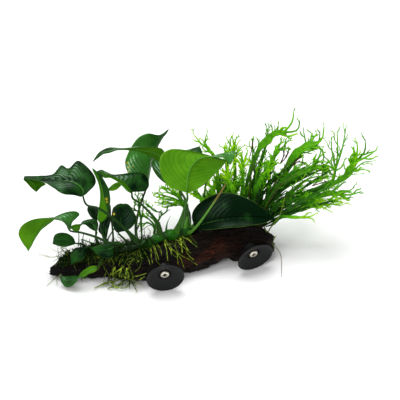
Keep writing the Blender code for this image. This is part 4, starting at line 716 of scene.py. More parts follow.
# ================================================================ the anubias leaves
# Nineteen leathery leaves, each a round stalk that runs on as the midrib under its blade. The blade
# is dark and waxy above, light green and matt below, and quilted between veins that arch to the tip.
LEAVES = [  # the places along each stalk, the rows of its blade and its tip
    # Each row crosses the blade from its left margin over the midrib to its right margin, as seen from
    # its upper side with the tip away. The rows run from the stalk to the tip.
    ([(-60, -44, 26), (-66, -38, 31), (-72, -31, 33), (-84, -20, 35), (-100, -8.4, 36), (-112, -5, 36)],
     [(-118, 3, 39, -116, 4, 38, -113, 5.5, 36.5), (-125, 4.7, 42, -116.5, 10.5, 38, -103.5, 17, 30),
      (-134, 5.5, 44, -120.5, 15, 38, -108, 29, 26), (-140, 8, 44, -127, 18, 37, -121, 39.5, 24),
      (-143, 10.5, 43, -133, 19, 36, -130.5, 31.5, 27),
      (-147.5, 13.5, 42, -140, 20, 35, -138, 34.3, 24),
      (-152.5, 16.8, 41, -149, 20.5, 34, -146, 25.5, 28), (-160, 18.5, 38, -161, 21, 33, -161, 24, 27),
      (-174, 20.5, 33, -174, 21.8, 30, -174.5, 22.5, 27),
      (-172.5, 17.5, 31, -166, 16.5, 27.5, -154, 16.8, 24.5),
      (-167, 11.5, 30, -164, 12, 27.5, -158, 12.5, 25)], (-162.5, 8, 28)),
    ([(-76, -46, 27), (-82, -43, 37), (-91, -42, 40), (-102, -37, 41), (-117, -32.4, 41),
     (-127, -31, 42)],
     [(-130, -29.5, 43.5, -129, -30, 42, -128, -29, 40.5),
      (-131.2, -27, 50, -130.5, -26.5, 42, -126, -20.5, 38),
      (-133.5, -23.5, 54, -132.5, -23, 42.5, -119.5, -15, 35),
      (-137, -20.8, 55, -136, -20, 43, -123, -11.3, 34),
      (-141.5, -19.5, 55, -140.5, -18.8, 43, -133, -12.5, 36),
      (-148, -18.3, 54, -145.5, -18.6, 43, -144, -17.7, 37),
      (-164, -19.3, 50, -152, -22, 42, -145.5, -20.5, 36),
      (-176, -25, 46, -157.5, -28, 41.5, -152, -26, 36),
      (-179.7, -33.5, 43, -161.5, -34, 41, -158, -31, 36),
      (-176, -42, 42, -165.5, -40.5, 41, -163, -38, 37),
      (-171.7, -48, 41, -168.5, -47, 40.5, -167, -46, 39)], (-170, -51, 40)),
    ([(-90, -46, 24), (-96, -36, 24), (-98.5, -27, 25)],
     [(-98, -22, 27, -98.5, -22.5, 26, -97, -22, 25),
      (-94, -18.5, 29.5, -100.7, -18.5, 26, -93.5, -20, 23.5),
      (-92, -13, 30.5, -100, -12.5, 26, -91, -14.5, 22.5),
      (-93, -5, 31.5, -99, -5.5, 27, -89.7, -6, 22.5), (-95, 2.5, 33, -98.3, 3, 28, -89, 2, 23),
      (-96.5, 10, 34.5, -98.8, 10.5, 30, -90.5, 10.5, 25),
      (-98.3, 17, 36, -100.5, 17.5, 32, -94, 17.5, 28),
      (-100.5, 23, 37, -102.8, 23.2, 34, -98, 24.5, 30),
      (-103.5, 27.5, 37, -105, 27.7, 35, -102, 28.2, 33)], (-106.7, 31.7, 36)),
    ([(-40, -38, 20), (-41, -26, 25), (-46, -17, 28), (-58, -4.4, 32), (-66.5, 1.5, 34)],
     [(-66, 7.5, 36, -68, 8, 34, -64.5, 8, 32), (-69, 10.7, 38, -72, 10, 33, -54, 9.2, 27),
      (-72.5, 14.5, 38, -75.5, 13.5, 32, -50.4, 16.5, 25),
      (-76, 18.5, 37, -79.5, 17.3, 31, -55, 26, 24),
      (-81.5, 21.5, 34.5, -83.5, 20.2, 29.5, -70, 27, 24),
      (-88.5, 24, 31, -89.5, 22.8, 28, -85, 25.2, 24.5),
      (-92, 25.5, 28.5, -94, 22.5, 26, -92, 27.5, 23), (-98, 28, 26, -99, 24.7, 24.5, -98, 30.3, 22.5)],
      (-102.5, 28.5, 23.5)),
    ([(-62, -44, 26), (-64, -27, 17), (-61, -10, 7), (-57, 3, 0)],
     [(-56, 10.5, -2, -54, 11, -2, -53, 11, -3), (-66, 17, 1, -53.5, 19, -2, -51.7, 19, -9),
      (-72.5, 27.5, 1, -52.7, 28, -3, -49.7, 29, -13), (-75, 38, 0, -52.2, 38, -3, -47.7, 38, -15),
      (-71.7, 48, -1, -51.2, 47, -3, -45, 46, -15), (-67, 56, -1, -48.5, 54, -4, -41.5, 54, -14),
      (-61, 63, 0, -44, 59, -4, -38.5, 60, -12), (-52, 66.6, 1, -39, 63.3, -4, -36, 64.5, -9),
      (-41, 65, 0, -35, 67.2, -4, -33.5, 67, -6)], (-31.3, 71, -4)),
    ([(-13, -31, 9), (-14, -3, 8), (-19, 8, 8), (-27, 24, 7)],
     [(-31, 37, 9, -32, 35, 7, -34, 34, 5), (-37, 50.5, 14, -40, 44.5, 8, -42, 39, -1),
      (-48, 52.7, 22, -50, 48.5, 12, -51, 44.4, 2), (-59, 52.8, 27, -60, 50.2, 16, -61, 48.2, 5),
      (-70, 51.6, 29, -70, 50.4, 18, -70, 49, 7), (-80, 49.8, 30, -80, 50.4, 18.5, -81, 51.5, 8),
      (-89, 46.7, 29, -90, 49, 19, -91, 52.2, 10), (-96, 45.4, 26, -98, 46.5, 19, -99.5, 48, 13),
      (-101.5, 41.5, 22, -102.5, 42.5, 20, -103.7, 43, 17)], (-107, 37.5, 20)),
    ([(-24, -33, 14), (-20, -22, 25), (-15, -7, 36), (-12.5, 1, 41)],
     [(-11, 7.4, 42, -12.7, 7.5, 42, -15, 7.5, 42), (-5, 9.5, 42, -13, 16, 43, -30, 13.5, 41),
      (2, 13.5, 41, -11.7, 25, 43, -39, 26, 39), (8, 18.5, 40, -8.5, 33, 42.5, -39.5, 42, 37),
      (13, 23.7, 40, -3, 39.2, 42, -30, 50.1, 36), (18, 28.7, 40.5, 4, 42.3, 42, -12, 49.3, 37),
      (22, 33, 41.5, 13, 42.7, 43, 5, 45.5, 39.5), (25, 36.5, 43, 20, 41, 44, 16, 42, 42)],
      (26.8, 39, 45)),
    ([(-20, -33, 10), (-15, -15, 0), (-17.5, -3, -4)],
     [(-23, 9.5, -5, -21, 9, -5, -19, 9, -5), (-36, 17.5, -5, -24, 16, -6, -13, 14, -5),
      (-44, 25, -6, -25.5, 24, -7, -6, 23, -5.5), (-48.5, 35, -7, -25, 32, -8, -2, 32, -6.5),
      (-44.5, 43, -8, -21, 39.5, -9, 1, 40, -7.5), (-32, 48.5, -9, -14, 45.5, -10, 2.5, 45.5, -8.5),
      (-16, 49.7, -9.5, -7, 49.5, -10, 2, 49, -9), (-6.5, 52, -10, -2.5, 52, -10, 1, 51.5, -9.5)],
      (-0.5, 54, -10)),
    ([(-8, -30.5, 8), (0, -12, 5), (5, 10, 8), (7, 30, 11)],
     [(9, 42.4, 11, 9.5, 42, 12, 10, 41.4, 13), (15, 44.5, 7, 15, 43.5, 13, 16, 42, 20),
      (21, 46, 5, 21, 44.7, 13.5, 23, 41.8, 24), (27, 47.2, 5, 27, 45.4, 13.5, 30, 35, 22),
      (32.5, 48.5, 8, 32, 46.4, 12.5, 33.5, 42, 19)], (37, 47.5, 11)),
    ([(-7, -30.5, 8), (-6.5, -29.5, 11)],
     [(-5.5, -26.5, 12.5, -4.5, -28.5, 13, -3, -29.8, 14), (-8.2, -16, 14, 1, -25, 16, 3, -29.7, 21),
      (-3, -5.5, 14, 8.5, -22.5, 18, 12, -29.3, 25), (11, 4.7, 17, 18, -20.5, 19, 23, -28.2, 28),
      (27, 7.6, 19, 29, -19, 19, 35, -27, 29), (43, 3.5, 18, 41, -18, 18, 46, -26, 28),
      (56, -3, 15, 52.5, -17.5, 16, 56, -24.7, 25), (66, -11, 12.5, 63, -17.5, 13.5, 64.5, -22.8, 18)],
      (73.8, -18, 10)),
    ([(-68, -46, 27), (-75, -39, 26.5)],
     [(-83, -32.4, 26, -81.5, -32.3, 26, -80, -32, 26),
      (-85.7, -27.5, 27, -80.5, -27, 25.5, -70, -29, 28),
      (-87.7, -19, 27, -79.2, -20.5, 25, -62.8, -20, 28),
      (-87, -9.3, 26.5, -78, -13.5, 24.5, -65.5, -11.8, 27),
      (-83.5, -5.2, 25, -77.2, -8, 24, -69.5, -5.8, 25.5),
      (-79.7, -3.4, 24, -76.7, -5.3, 23.5, -73, -3.6, 24)], (-76.3, -3.9, 23)),
    ([(-98, -48, 21), (-103, -38, 20), (-103.5, -28, 21)],
     [(-103.5, -20.8, 21.5, -102.5, -20.5, 22, -101.5, -19.5, 22),
      (-108.5, -17, 22.5, -104, -16.5, 22, -100.7, -13.5, 23),
      (-111.8, -11.5, 23, -106, -12.5, 22, -100.5, -8, 23),
      (-112, -8, 23, -108, -9, 22.5, -105, -6.3, 23)], (-110.5, -5.3, 22.5)),
    ([(-100, -48, 20), (-103.5, -38, 28)],
     [(-104, -31, 32, -102.5, -31, 31, -101.5, -29.5, 30),
      (-109, -28.5, 34, -105, -26, 31.5, -101, -23, 29),
      (-113, -25, 35, -108.5, -22.5, 32, -105, -18.8, 29),
      (-115.5, -24.3, 37, -113.5, -22.2, 33, -113, -19.6, 29),
      (-116.5, -24, 38.5, -116.5, -23.3, 33.5, -117.5, -22.3, 29),
      (-122, -23.8, 37, -120.5, -26.5, 34, -119.5, -29.8, 31),
      (-126, -24.8, 36, -124.5, -27.5, 34, -124, -31, 32)], (-129, -27.5, 34)),
    ([(-112, -49, 16), (-117, -44, 23)],
     [(-124.5, -44, 28, -124, -43, 27, -124, -41.5, 26),
      (-128.5, -45.3, 31, -128.5, -41, 29, -126.5, -36.3, 26),
      (-134.5, -46.8, 33, -134, -39.8, 30, -132.5, -33, 26),
      (-140, -45.8, 33, -139, -39.8, 31, -139.5, -32.3, 27),
      (-143.5, -44.6, 32, -143, -41, 31, -144.7, -35.5, 29)], (-146.2, -43.5, 31)),
    ([(-107, -49, 18), (-110, -47, 25)],
     [(-113.5, -48.5, 29, -114.5, -47.5, 29, -116, -47, 29.5),
      (-113, -54.5, 30, -117.5, -50.5, 30.5, -123, -47.3, 30),
      (-116, -59, 30, -120.5, -53.5, 31, -127.2, -51, 30),
      (-121, -61.3, 30, -123.5, -57, 31, -128.5, -56, 30),
      (-124.5, -62, 30, -125.7, -61, 30.5, -128, -60.5, 30)], (-127.7, -64.5, 30)),
    ([(-81, -49, 26), (-83.5, -47.5, 30)],
     [(-85.5, -48.5, 31.5, -86, -46.5, 31, -87, -45, 30),
      (-86.5, -56, 33, -90, -48, 32, -91, -42.8, 30),
      (-93, -57.8, 33, -95.5, -48.8, 32.5, -97, -43.3, 30.5),
      (-100, -55.3, 32.5, -101.5, -48.8, 32.5, -102.5, -45.3, 31),
      (-104.5, -52, 32, -105, -48.3, 32, -105.5, -46.3, 31)], (-109, -47, 31)),
    ([(-94, -49, 22), (-96, -56, 29), (-99, -62, 31)],
     [(-103, -65.3, 32, -102, -66.5, 31, -101.7, -68, 30),
      (-108.5, -65.6, 32, -107, -68.5, 30, -105, -71.5, 28),
      (-115, -69.5, 33, -112.5, -71.5, 28.5, -110.5, -73.5, 26),
      (-119.5, -74.2, 32, -118, -75.3, 27, -116.5, -77, 24),
      (-122, -80.5, 30, -122.5, -77.7, 26, -124.5, -75, 22),
      (-127, -85.3, 26, -127.5, -79, 24.5, -130, -75.4, 21),
      (-133, -87, 22, -132.5, -79.5, 23, -135, -75.6, 20.5),
      (-137.5, -82.5, 21.5, -136.5, -79, 22, -137.5, -76, 21)], (-139.5, -77.5, 21)),
    ([(-86, -47, 25), (-87, -30, 16), (-90, -10, 14), (-92.5, 3, 18)],
     [(-90, 9, 21, -91, 10, 21, -91.2, 11.5, 20), (-86.5, 9, 21, -88, 12, 21, -88, 14.7, 20),
      (-82.5, 10.5, 21, -84.2, 13.7, 21, -83.5, 17.4, 20),
      (-79.7, 13, 21, -81, 14.8, 21, -80.5, 17.2, 20)], (-77.5, 15.7, 20)),
    ([(-94, -48, 20)],
     [(-94.5, -37.5, 19, -93.5, -37.5, 19, -92.5, -37, 19),
      (-101, -31, 20, -94, -31.5, 20, -91, -29, 20), (-100, -23, 19, -93.2, -24.5, 19, -89, -21.5, 19),
      (-98, -15, 18.5, -91.5, -17, 18.5, -88.5, -14, 18.5),
      (-94, -9, 18.5, -90, -10.5, 18.5, -88.5, -9, 18.5)], (-89, -5, 18.5)),
]
LEAF_ARCH, STALK_RADIUS, LEAF_HALF = 0.07, 1.3, 0.22  # share of the width; millimetres; millimetres
FLARES = {  # how much each stalk's foot is swollen, over which length, and how light it is there
    1: (2.1, 13, 0.0), 2: (0.8, 9, 0.0), 3: (0.8, 9, 0.0), 4: (1.9, 12, 0.2), 6: (1.6, 14, 0.5),
    7: (1.8, 13, 0.7), 8: (1.9, 18, 0.8), 9: (1.0, 14, 0.6),
}
PLAIN_FLARE = (0.7, 6, 0.0)  # that of every other stalk
STALK_ROWS, STALK_SIDES = 96, 12
TONES = [  # how light each leaf is at its foot and at its tip, and how much it shines
    (-0.05, 0.1, 0.9), (0.5, 0.5, 1.3), (0.4, 0.1, 0.4), (-0.05, 0.1, 1.2), (1.4, 0.3, 2.2),
    # Leaf nine's high tone is partly a painted highlight: it pales the leaf towards the near-white sheen of
    # its top
    (0.35, 0.1, 2.6), (0.4, 0.45, 0.3), (0.6, 0.2, 3.5), (0.9, 1.0, 5.0), (-0.25, -0.2, 0.25),
    (-0.25, -0.05, 0.35), (-0.2, 0.0, 0.7), (-0.1, 0.05, 0.6), (0.1, 0.25, 0.35), (-0.1, 0.1, 0.3),
    (-0.05, 0.1, 0.8), (0.6, 0.15, 1.6), (0.9, 0.9, 0.3), (-0.2, -0.1, 0.5),
]
SPOTS = [  # yellow spots: across, up and radius as seen in the picture
    (-93, 1, 1.0), (-92.5, -2, 0.8), (-71.4, 33.1, 0.9), (-71.9, 28.9, 0.8), (-72.6, 37.1, 0.7),
    (-85.5, -14, 0.8), (-69.3, 38, 0.5), (-66.7, 34, 0.5),
]


def leaf_sheets(stalk, blade, tip, tone, flare):
    """The blade as one closed lens of a grid, and the stalk with the midrib as one tapering tube.
    The grid is a curve through the rows, each half arched by LEAF_ARCH of its width, quilted between
    its side veins and gently waved at its margins."""
    rows = np.array(blade, float).reshape(-1, 3, 3)
    rows = np.concatenate((rows, [tip + 0.04 * (rows[-1] - rows[-1, 1])]))
    size = steps(rows[:, 1]).sum()
    wide = sum(np.linalg.norm(rows[:, i] - rows[:, 1], axis=1).max() for i in (0, 2))
    count, columns = int(44 + 0.9 * size), 2 * int(14 + 0.12 * wide) + 1
    grid = evenly(smooth(rows, 16), count)
    v = np.linspace(0, 1, count)[:, None]
    t = np.linspace(-1, 1, columns)[None]
    s = np.abs(t)
    forward = unit(np.gradient(grid[:, 1], axis=0))
    halves = [(grid[:, 0] - grid[:, 1], -1), (grid[:, 2] - grid[:, 1], 1)]
    overs = [unit(np.cross(forward, half) * -sign) for half, sign in halves]
    surface = 0
    for (half, sign), over in zip(halves, overs):
        arch = 4 * LEAF_ARCH * (s * (1 - s))[..., None] * np.linalg.norm(half, axis=1)[:, None, None]
        flat = grid[:, 1][:, None] + s[..., None] * half[:, None]
        surface = surface + np.where((t * sign > 0)[..., None], flat + arch * over[:, None], 0)
    middle = columns // 2
    surface[:, middle] = grid[:, 1]
    normal = unit(np.cross(np.gradient(surface, axis=1), np.gradient(surface, axis=0)))
    normal = -normal if np.sum(normal[:, middle] * (overs[0] + overs[1])) < 0 else normal
    veins = 5 + size / 9
    phase = veins * (v - 0.42 * s**1.3) + 0.5 * (t > 0) + 50
    quilt = np.abs(np.sin(math.pi * phase)) ** 0.7 + 0.22 * np.abs(np.sin(4 * math.pi * phase)) ** 0.7
    fade = (np.clip(s / 0.12, 0, 1) * np.clip((1 - s) / 0.15, 0, 1)
            * np.clip(v / 0.08, 0, 1) * np.clip((1 - v) / 0.06, 0, 1))
    wave = 0.010 * wide * s**3 * np.sin(2 * math.pi * (2.6 * v + 0.3 * np.sign(t)) + size)
    rib = -0.25 * np.exp(-((t * wide / 2) / 0.9) ** 2)
    wave = wave * np.clip(4 * v, 0, 1) * np.clip(4 * (1 - v), 0, 1)
    lift = (0.009 * wide + 0.1) * quilt * fade + wave + rib
    surface = surface + lift[..., None] * normal
    thick = (LEAF_HALF * np.sqrt(1 - s**2 + 1e-9))[..., None] * normal
    ring = np.concatenate((surface + thick, (surface - thick)[:, -2:0:-1]), axis=1)
    spots = sum(np.exp(-((ring[..., 0] - x) ** 2 + (ring[..., 1] - y) ** 2) / r**2) for x, y, r in SPOTS)
    finish = np.repeat((0, 1), columns - 1)  # over the upper side, then back over the lower one
    marks = dict(phase=phase, margin=s * np.clip(12 * v, 0, 1), rib=np.abs(t) * wide / 2,
                 tone=tone[0] + (tone[1] - tone[0]) * v)
    for mark, values in marks.items():
        values = values + 0 * s * v
        marks[mark] = np.concatenate((values, values[:, -2:0:-1]), axis=1)
    lens = dict(at=grown(ring), finish=np.broadcast_to(finish, (1, count - 1, 2 * columns - 2)), spot=spots,
                gloss=tone[2], **marks)
    stem = smooth(np.concatenate((np.array(stalk, float), rows[:2, 1])))[:-12]
    under = unit(overs[0] + overs[1])
    rest = grid[3:-3, 1] - (0.30 + LEAF_HALF) * under[3:-3]
    path = evenly(np.concatenate((stem[:-2], rest)), STALK_ROWS)
    far, stem_length = np.concatenate(([0], np.cumsum(steps(path)))), steps(stem).sum()
    scale = STALK_RADIUS * min(1.0, 0.55 + size / 90)
    radius = np.where(far < stem_length, scale * (1.15 - 0.35 * far / stem_length),
                      scale * 0.8 * (1 - 0.75 * (far - stem_length) / (far[-1] - stem_length + 1e-6)))
    swollen = np.exp(-(far / flare[1]) ** 2)
    radius = radius * (1 + flare[0] * swollen) * np.where(far > stem_length, 0.75, 1.0)
    radius = np.convolve(np.pad(radius, 4, mode="edge"), np.ones(9) / 9, mode="valid")
    age_and_shade = 0.35 * np.exp(-far / 6.0) + 0.1
    light = np.maximum(np.clip((far - stem_length) / 5, 0, 1), flare[2] * np.maximum(0.5, swollen))
    return [lens, dict(at=grown(tube(path, radius, STALK_SIDES)), finish=2, age_and_shade=age_and_shade[:, None],
                       light=light[:, None])]


def leaf_material(name, dark, light, vein, marked, roughness, gloss):
    """A blade's skin: clouded from dark to light by its tone, with side veins `marked` so far, finer ones
    between, a pale margin and yellow spots. Its wax is clear but lies on green, and shines by `gloss`
    along the crests between the veins, and little elsewhere: the shader's own level is the mean of that."""
    made, tree, shader = new_material(name, Specular_IOR_Level=0.06 + 0.2 * gloss,
                                      Specular_Tint=GREEN_GLOSS)
    tone, phase, from_rib, to_margin, spot, shines = (
        node(tree, "Attribute", out="Fac", attribute_name=mark)
        for mark in ("tone", "phase", "rib", "margin", "spot", "gloss"))
    place = node(tree, "TexCoord", out="Object")
    cloud = node(tree, "TexNoise", {"Vector": place, "Scale": 70.0, "Detail": 4.0})
    cloud = node(tree, "MapRange", {0: cloud, 1: 0.3, 2: 0.7, 3: 0.25, 4: 0.75})
    cells = node(tree, "TexVoronoi", {"Vector": place, "Scale": 1400.0})
    tone = node(tree, "Math", {0: tone, 1: cloud}, operation="ADD")
    tone = node(tree, "MapRange", {0: tone, 1: 0.35, 2: 1.5})
    clear = node(tree, "MapRange", {0: tone, 1: 0.0, 2: 0.35, 3: 0.12, 4: 1.0})
    body = node(tree, "Mix", {0: tone, 6: linear(dark), 7: linear(light)}, 2, data_type="RGBA")
    vein_line = node(tree, "Math", {0: phase, 1: 0.5}, operation="PINGPONG")
    thin_phase = node(tree, "Math", {0: phase, 1: 4.0}, operation="MULTIPLY")
    thin_line = node(tree, "Math", {0: thin_phase, 1: 0.5}, operation="PINGPONG")
    main = node(tree, "MapRange", {0: vein_line, 1: 0.0, 2: 0.13, 3: marked, 4: 0.0})
    thin = node(tree, "MapRange", {0: thin_line, 1: 0.0, 2: 0.3, 3: 0.3, 4: 0.0})
    rib = node(tree, "MapRange", {0: from_rib, 1: 0.3, 2: 1.1, 3: 0.9, 4: 0.0})
    lines = node(tree, "Math", {0: main, 1: thin}, operation="ADD")
    lines = node(tree, "Math", {0: lines, 1: rib}, operation="MAXIMUM")
    lines = node(tree, "Math", {0: lines, 1: clear}, operation="MULTIPLY")
    veined = node(tree, "Mix", {0: lines, 6: body, 7: linear(vein)}, 2, data_type="RGBA")
    margin = node(tree, "MapRange", {0: to_margin, 1: 0.965, 2: 0.995, 3: 0.0, 4: 0.6})
    edged = node(tree, "Mix", {0: margin, 6: veined, 7: linear("#7fae45")}, 2, data_type="RGBA")
    spotted = node(tree, "Mix", {0: spot, 6: edged, 7: linear("#e8cf2e")}, 2, data_type="RGBA")
    uneven = node(tree, "TexNoise", {"Vector": place, "Scale": 380.0, "Detail": 2.0})
    ragged = node(tree, "Math", {0: uneven, 1: 0.3, 2: vein_line}, operation="MULTIPLY_ADD")
    crest = node(tree, "MapRange", {0: ragged, 1: 0.25, 2: 0.62})
    patch = node(tree, "TexNoise", {"Vector": place, "Scale": 38.0, "Detail": 1.0})
    broken = node(tree, "MapRange", {0: patch, 1: 0.40, 2: 0.58})
    shine = node(tree, "Math", {0: crest, 1: broken}, operation="MULTIPLY")
    shine = node(tree, "Math", {0: shine, 1: shines}, operation="MULTIPLY")
    level = node(tree, "Math", {0: shine, 1: gloss, 2: 0.06}, operation="MULTIPLY_ADD")
    rough = node(tree, "MapRange", {0: shine, 3: roughness, 4: roughness - 0.12})
    height = node(tree, "Math", {0: cells, 1: thin, 2: 0.5}, operation="MULTIPLY_ADD")
    bump = node(tree, "Bump", {"Height": height, "Strength": 0.25, "Distance": 0.00025})
    wire(shader, {"Base Color": spotted, "Specular IOR Level": level, "Roughness": rough, "Normal": bump})
    return made


# Upper skin: waxy cuticle, so nearly black-green with grey-white gloss. Underside: no wax, paler.
upper_skin = leaf_material("anubias_leaf_upper_skin", "#031406", "#3a7626", "#1f5a20", marked=0.4,
                           roughness=0.28, gloss=0.75)
under_skin = leaf_material("anubias_leaf_underside", "#2a6204", "#5e9616", "#245a04", marked=0.5,
                           roughness=0.5, gloss=0.0)
# Leaf stalk: smooth and dark green, lighter where it is young and as the midrib, browner at its foot
stalk_skin, tree, shader = new_material("anubias_stalk_skin", Specular_IOR_Level=0.12, Roughness=0.3)
light, age_and_shade = (node(tree, "Attribute", out="Fac", attribute_name=mark) for mark in ("light", "age_and_shade"))
green = clouded(tree, 220.0, 3.0, "#061804", "#1c480c")[1]
ribbed = node(tree, "Mix", {0: light, 6: green, 7: linear("#4f8f2a")}, 2, data_type="RGBA")
aged = node(tree, "Mix", {0: age_and_shade, 6: ribbed, 7: linear("#1d2410")}, 2, data_type="RGBA")
wire(shader, {"Base Color": aged})

for number, ((stalk, blade, tip), tone) in enumerate(zip(LEAVES, TONES), 1):
    name = f"anubias_leaf_{number:02d}"
    sheets = leaf_sheets(stalk, blade, tip, tone, FLARES.get(number, PLAIN_FLARE))
    piece = make_piece(name + "_living", sheets, [upper_skin, under_skin, stalk_skin])
    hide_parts(name)

# ================================================================ the bare stalk
# A leaf stalk whose blade has rotted off: two pale green ridges with a groove between them, speckled
# brown and withered at its tip.
BARE_STALK = [(-12, -33, 10), (-8, -31, 21), (0, -22, 31), (10, -8, 37), (22, 10, 38), (26, 17, 37)]
BARE_ROWS, BARE_SIDES = 120, 24
share = np.linspace(0, 1, BARE_ROWS)
radius = 1.4 - 0.55 * share + 1.2 * np.exp(-(share / 0.08) ** 2) - 0.5 * np.clip((share - 0.9) * 10, 0, 1)
groove = 1 - 0.28 * np.cos(2 * circle(BARE_SIDES)) ** 8
rings = tube(drawn(BARE_STALK, BARE_ROWS), radius, BARE_SIDES, groove)

# Withered stalk: pale green with fine brown specks that run together towards its tip
withered, tree, shader = new_material("withered_stalk", Specular_IOR_Level=0.2, Roughness=0.45)
speck, green = clouded(tree, 900.0, 3.0, "#28600e", "#65a032")
along = node(tree, "Attribute", out="Fac", attribute_name="along")
brown = node(tree, "MapRange", {0: along, 1: 0.5, 2: 1.0, 3: -0.35, 4: 0.75})
mask = node(tree, "Math", {0: brown, 1: speck}, operation="ADD")
mask = node(tree, "MapRange", {0: mask, 1: 0.45, 2: 0.75})
tint = node(tree, "Mix", {0: mask, 6: green, 7: linear("#6b5a2a")}, 2, data_type="RGBA")
wire(shader, {"Base Color": tint})
ridges = dict(at=grown(rings), along=share[:, None])
bare = make_piece("anubias_bare_stalk_withered", [ridges], [withered])
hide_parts("anubias_bare_stalk")

# ================================================================ the young stalks and the bud
# Between the leaves stand sheaths that wrapped older stalks, thin stalks that have lost their blades,
# a red-tipped bud and a dry tendril. All are round, tapered and grown from the creeping stem.
YOUNG = [  # places along each, its radius at the foot and at the tip, and how old it looks there
    ([(-66, -42, 24), (-63, -30, 16), (-58.6, -20, 10), (-57, -10, 4), (-56.8, 0, 0),
     (-58.2, 7, -2)], 1.0, 0.6, 0.3),
    ([(-10.5, -33, 8), (-11, -26, 7), (-12.5, -16, 4), (-14, -6, 0)], 3.6, 1.0, -0.9),
    ([(-16, -34, 11), (-14, -24, 12), (-12.5, -14, 8), (-12.4, -4, 2)], 2.2, 0.9, -0.8),
    ([(-41, -37, 19), (-39.5, -30, 22), (-41, -22, 24.5)], 3.0, 1.2, 0.35),
    ([(-33.6, -33, 17), (-33.4, -27, 18), (-32, -21.4, 17), (-29.3, -15.7, 16)], 1.5, 0.15, 0.0),
    ([(-60.7, -31.4, 20), (-55.7, -28.6, 20), (-50.7, -25.4, 19), (-43.6, -24.3, 17)], 0.35, 0.25, 0.6),
    ([(-55, -36.5, 22), (-55.4, -31, 21), (-55.7, -27, 20)], 0.4, 0.25, 0.5),
    ([(-121, -46, 14), (-120.6, -36, 17), (-121, -29, 20)], 0.6, 0.4, 0.2),
    ([(-117, -46, 15), (-116.5, -38, 18), (-116, -34, 20)], 0.6, 0.4, 0.4),
    ([(-104, -44, 23), (-111, -41.5, 25), (-118, -39, 27)], 0.9, 0.5, 0.1),
    ([(-95, -47, 24), (-90, -36, 27), (-84, -27, 27)], 0.9, 0.6, 0.5),
]
YOUNG_ROWS, YOUNG_SIDES = 40, 18
sheets = []
share = np.linspace(0, 1, YOUNG_ROWS)
ribs = 1 + 0.08 * np.cos(6 * circle(YOUNG_SIDES))
for path, low, high, aged in YOUNG:
    width = high + (low - high) * (1 - share) ** 1.6
    rings = tube(drawn(path, YOUNG_ROWS), width, YOUNG_SIDES, ribs)
    sheets.append(dict(at=grown(rings), age_and_shade=(aged + 0.3 * (1 - share))[:, None]))
young = make_piece("anubias_young_stalks", sheets, [stem_finish])

# ================================================================ the fern's rhizome
# A creeping stem, thinner than a pencil, dark and closely set with brown scales. It lies on the wood's
# top, and all the fronds rise from it.
FERN_RHIZOME = [(13, -27, -2.5), (26, -25, -5), (40, -23.5, -7.5), (52, -23.5, -9), (64, -25.5, -10)]
FERN_RHIZOME_RADIUS, SCALES = 3.0, 260
FERN_RHIZOME_ROWS, FERN_RHIZOME_SIDES = 120, 24

# Fern stem: matt dark skin under dry brown scales
scale_finish, tree, shader = new_material("scaly_fern_stem", Specular_IOR_Level=0.3, Roughness=0.7)
wire(shader, {"Base Color": clouded(tree, 500.0, 4.0, "#0d0a06", "#3e3a1c")[1]})

path = drawn(FERN_RHIZOME, FERN_RHIZOME_ROWS)
share = np.linspace(0, 1, FERN_RHIZOME_ROWS)
radius = FERN_RHIZOME_RADIUS * (0.9 + 0.06 * np.sin(share * 70))
radius = radius * np.clip(np.sin(share * math.pi) * 12 + 0.2, 0, 1) ** 0.5
rng = np.random.default_rng(31)
spots = path[rng.integers(2, FERN_RHIZOME_ROWS - 2, SCALES)]
ways = unit(rng.normal(0, 1, (SCALES, 3)) + (0.6, 0.3, 0.3))
reach = FERN_RHIZOME_RADIUS * 0.85 + 1.8 * np.linspace(0, 1, 4)
lines = spots[:, None] + reach[None, :, None] * ways[:, None]
scales = rings_round(lines, np.tile([0.5, 0.6, 0.4, 0.08], (SCALES, 1)), 4, 0.4)
core = dict(at=to_world(tube(path, radius, FERN_RHIZOME_SIDES)))
stem = make_piece("fern_rhizome_scales", [core, dict(at=grown(scales))], [scale_finish])
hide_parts("fern_rhizome")

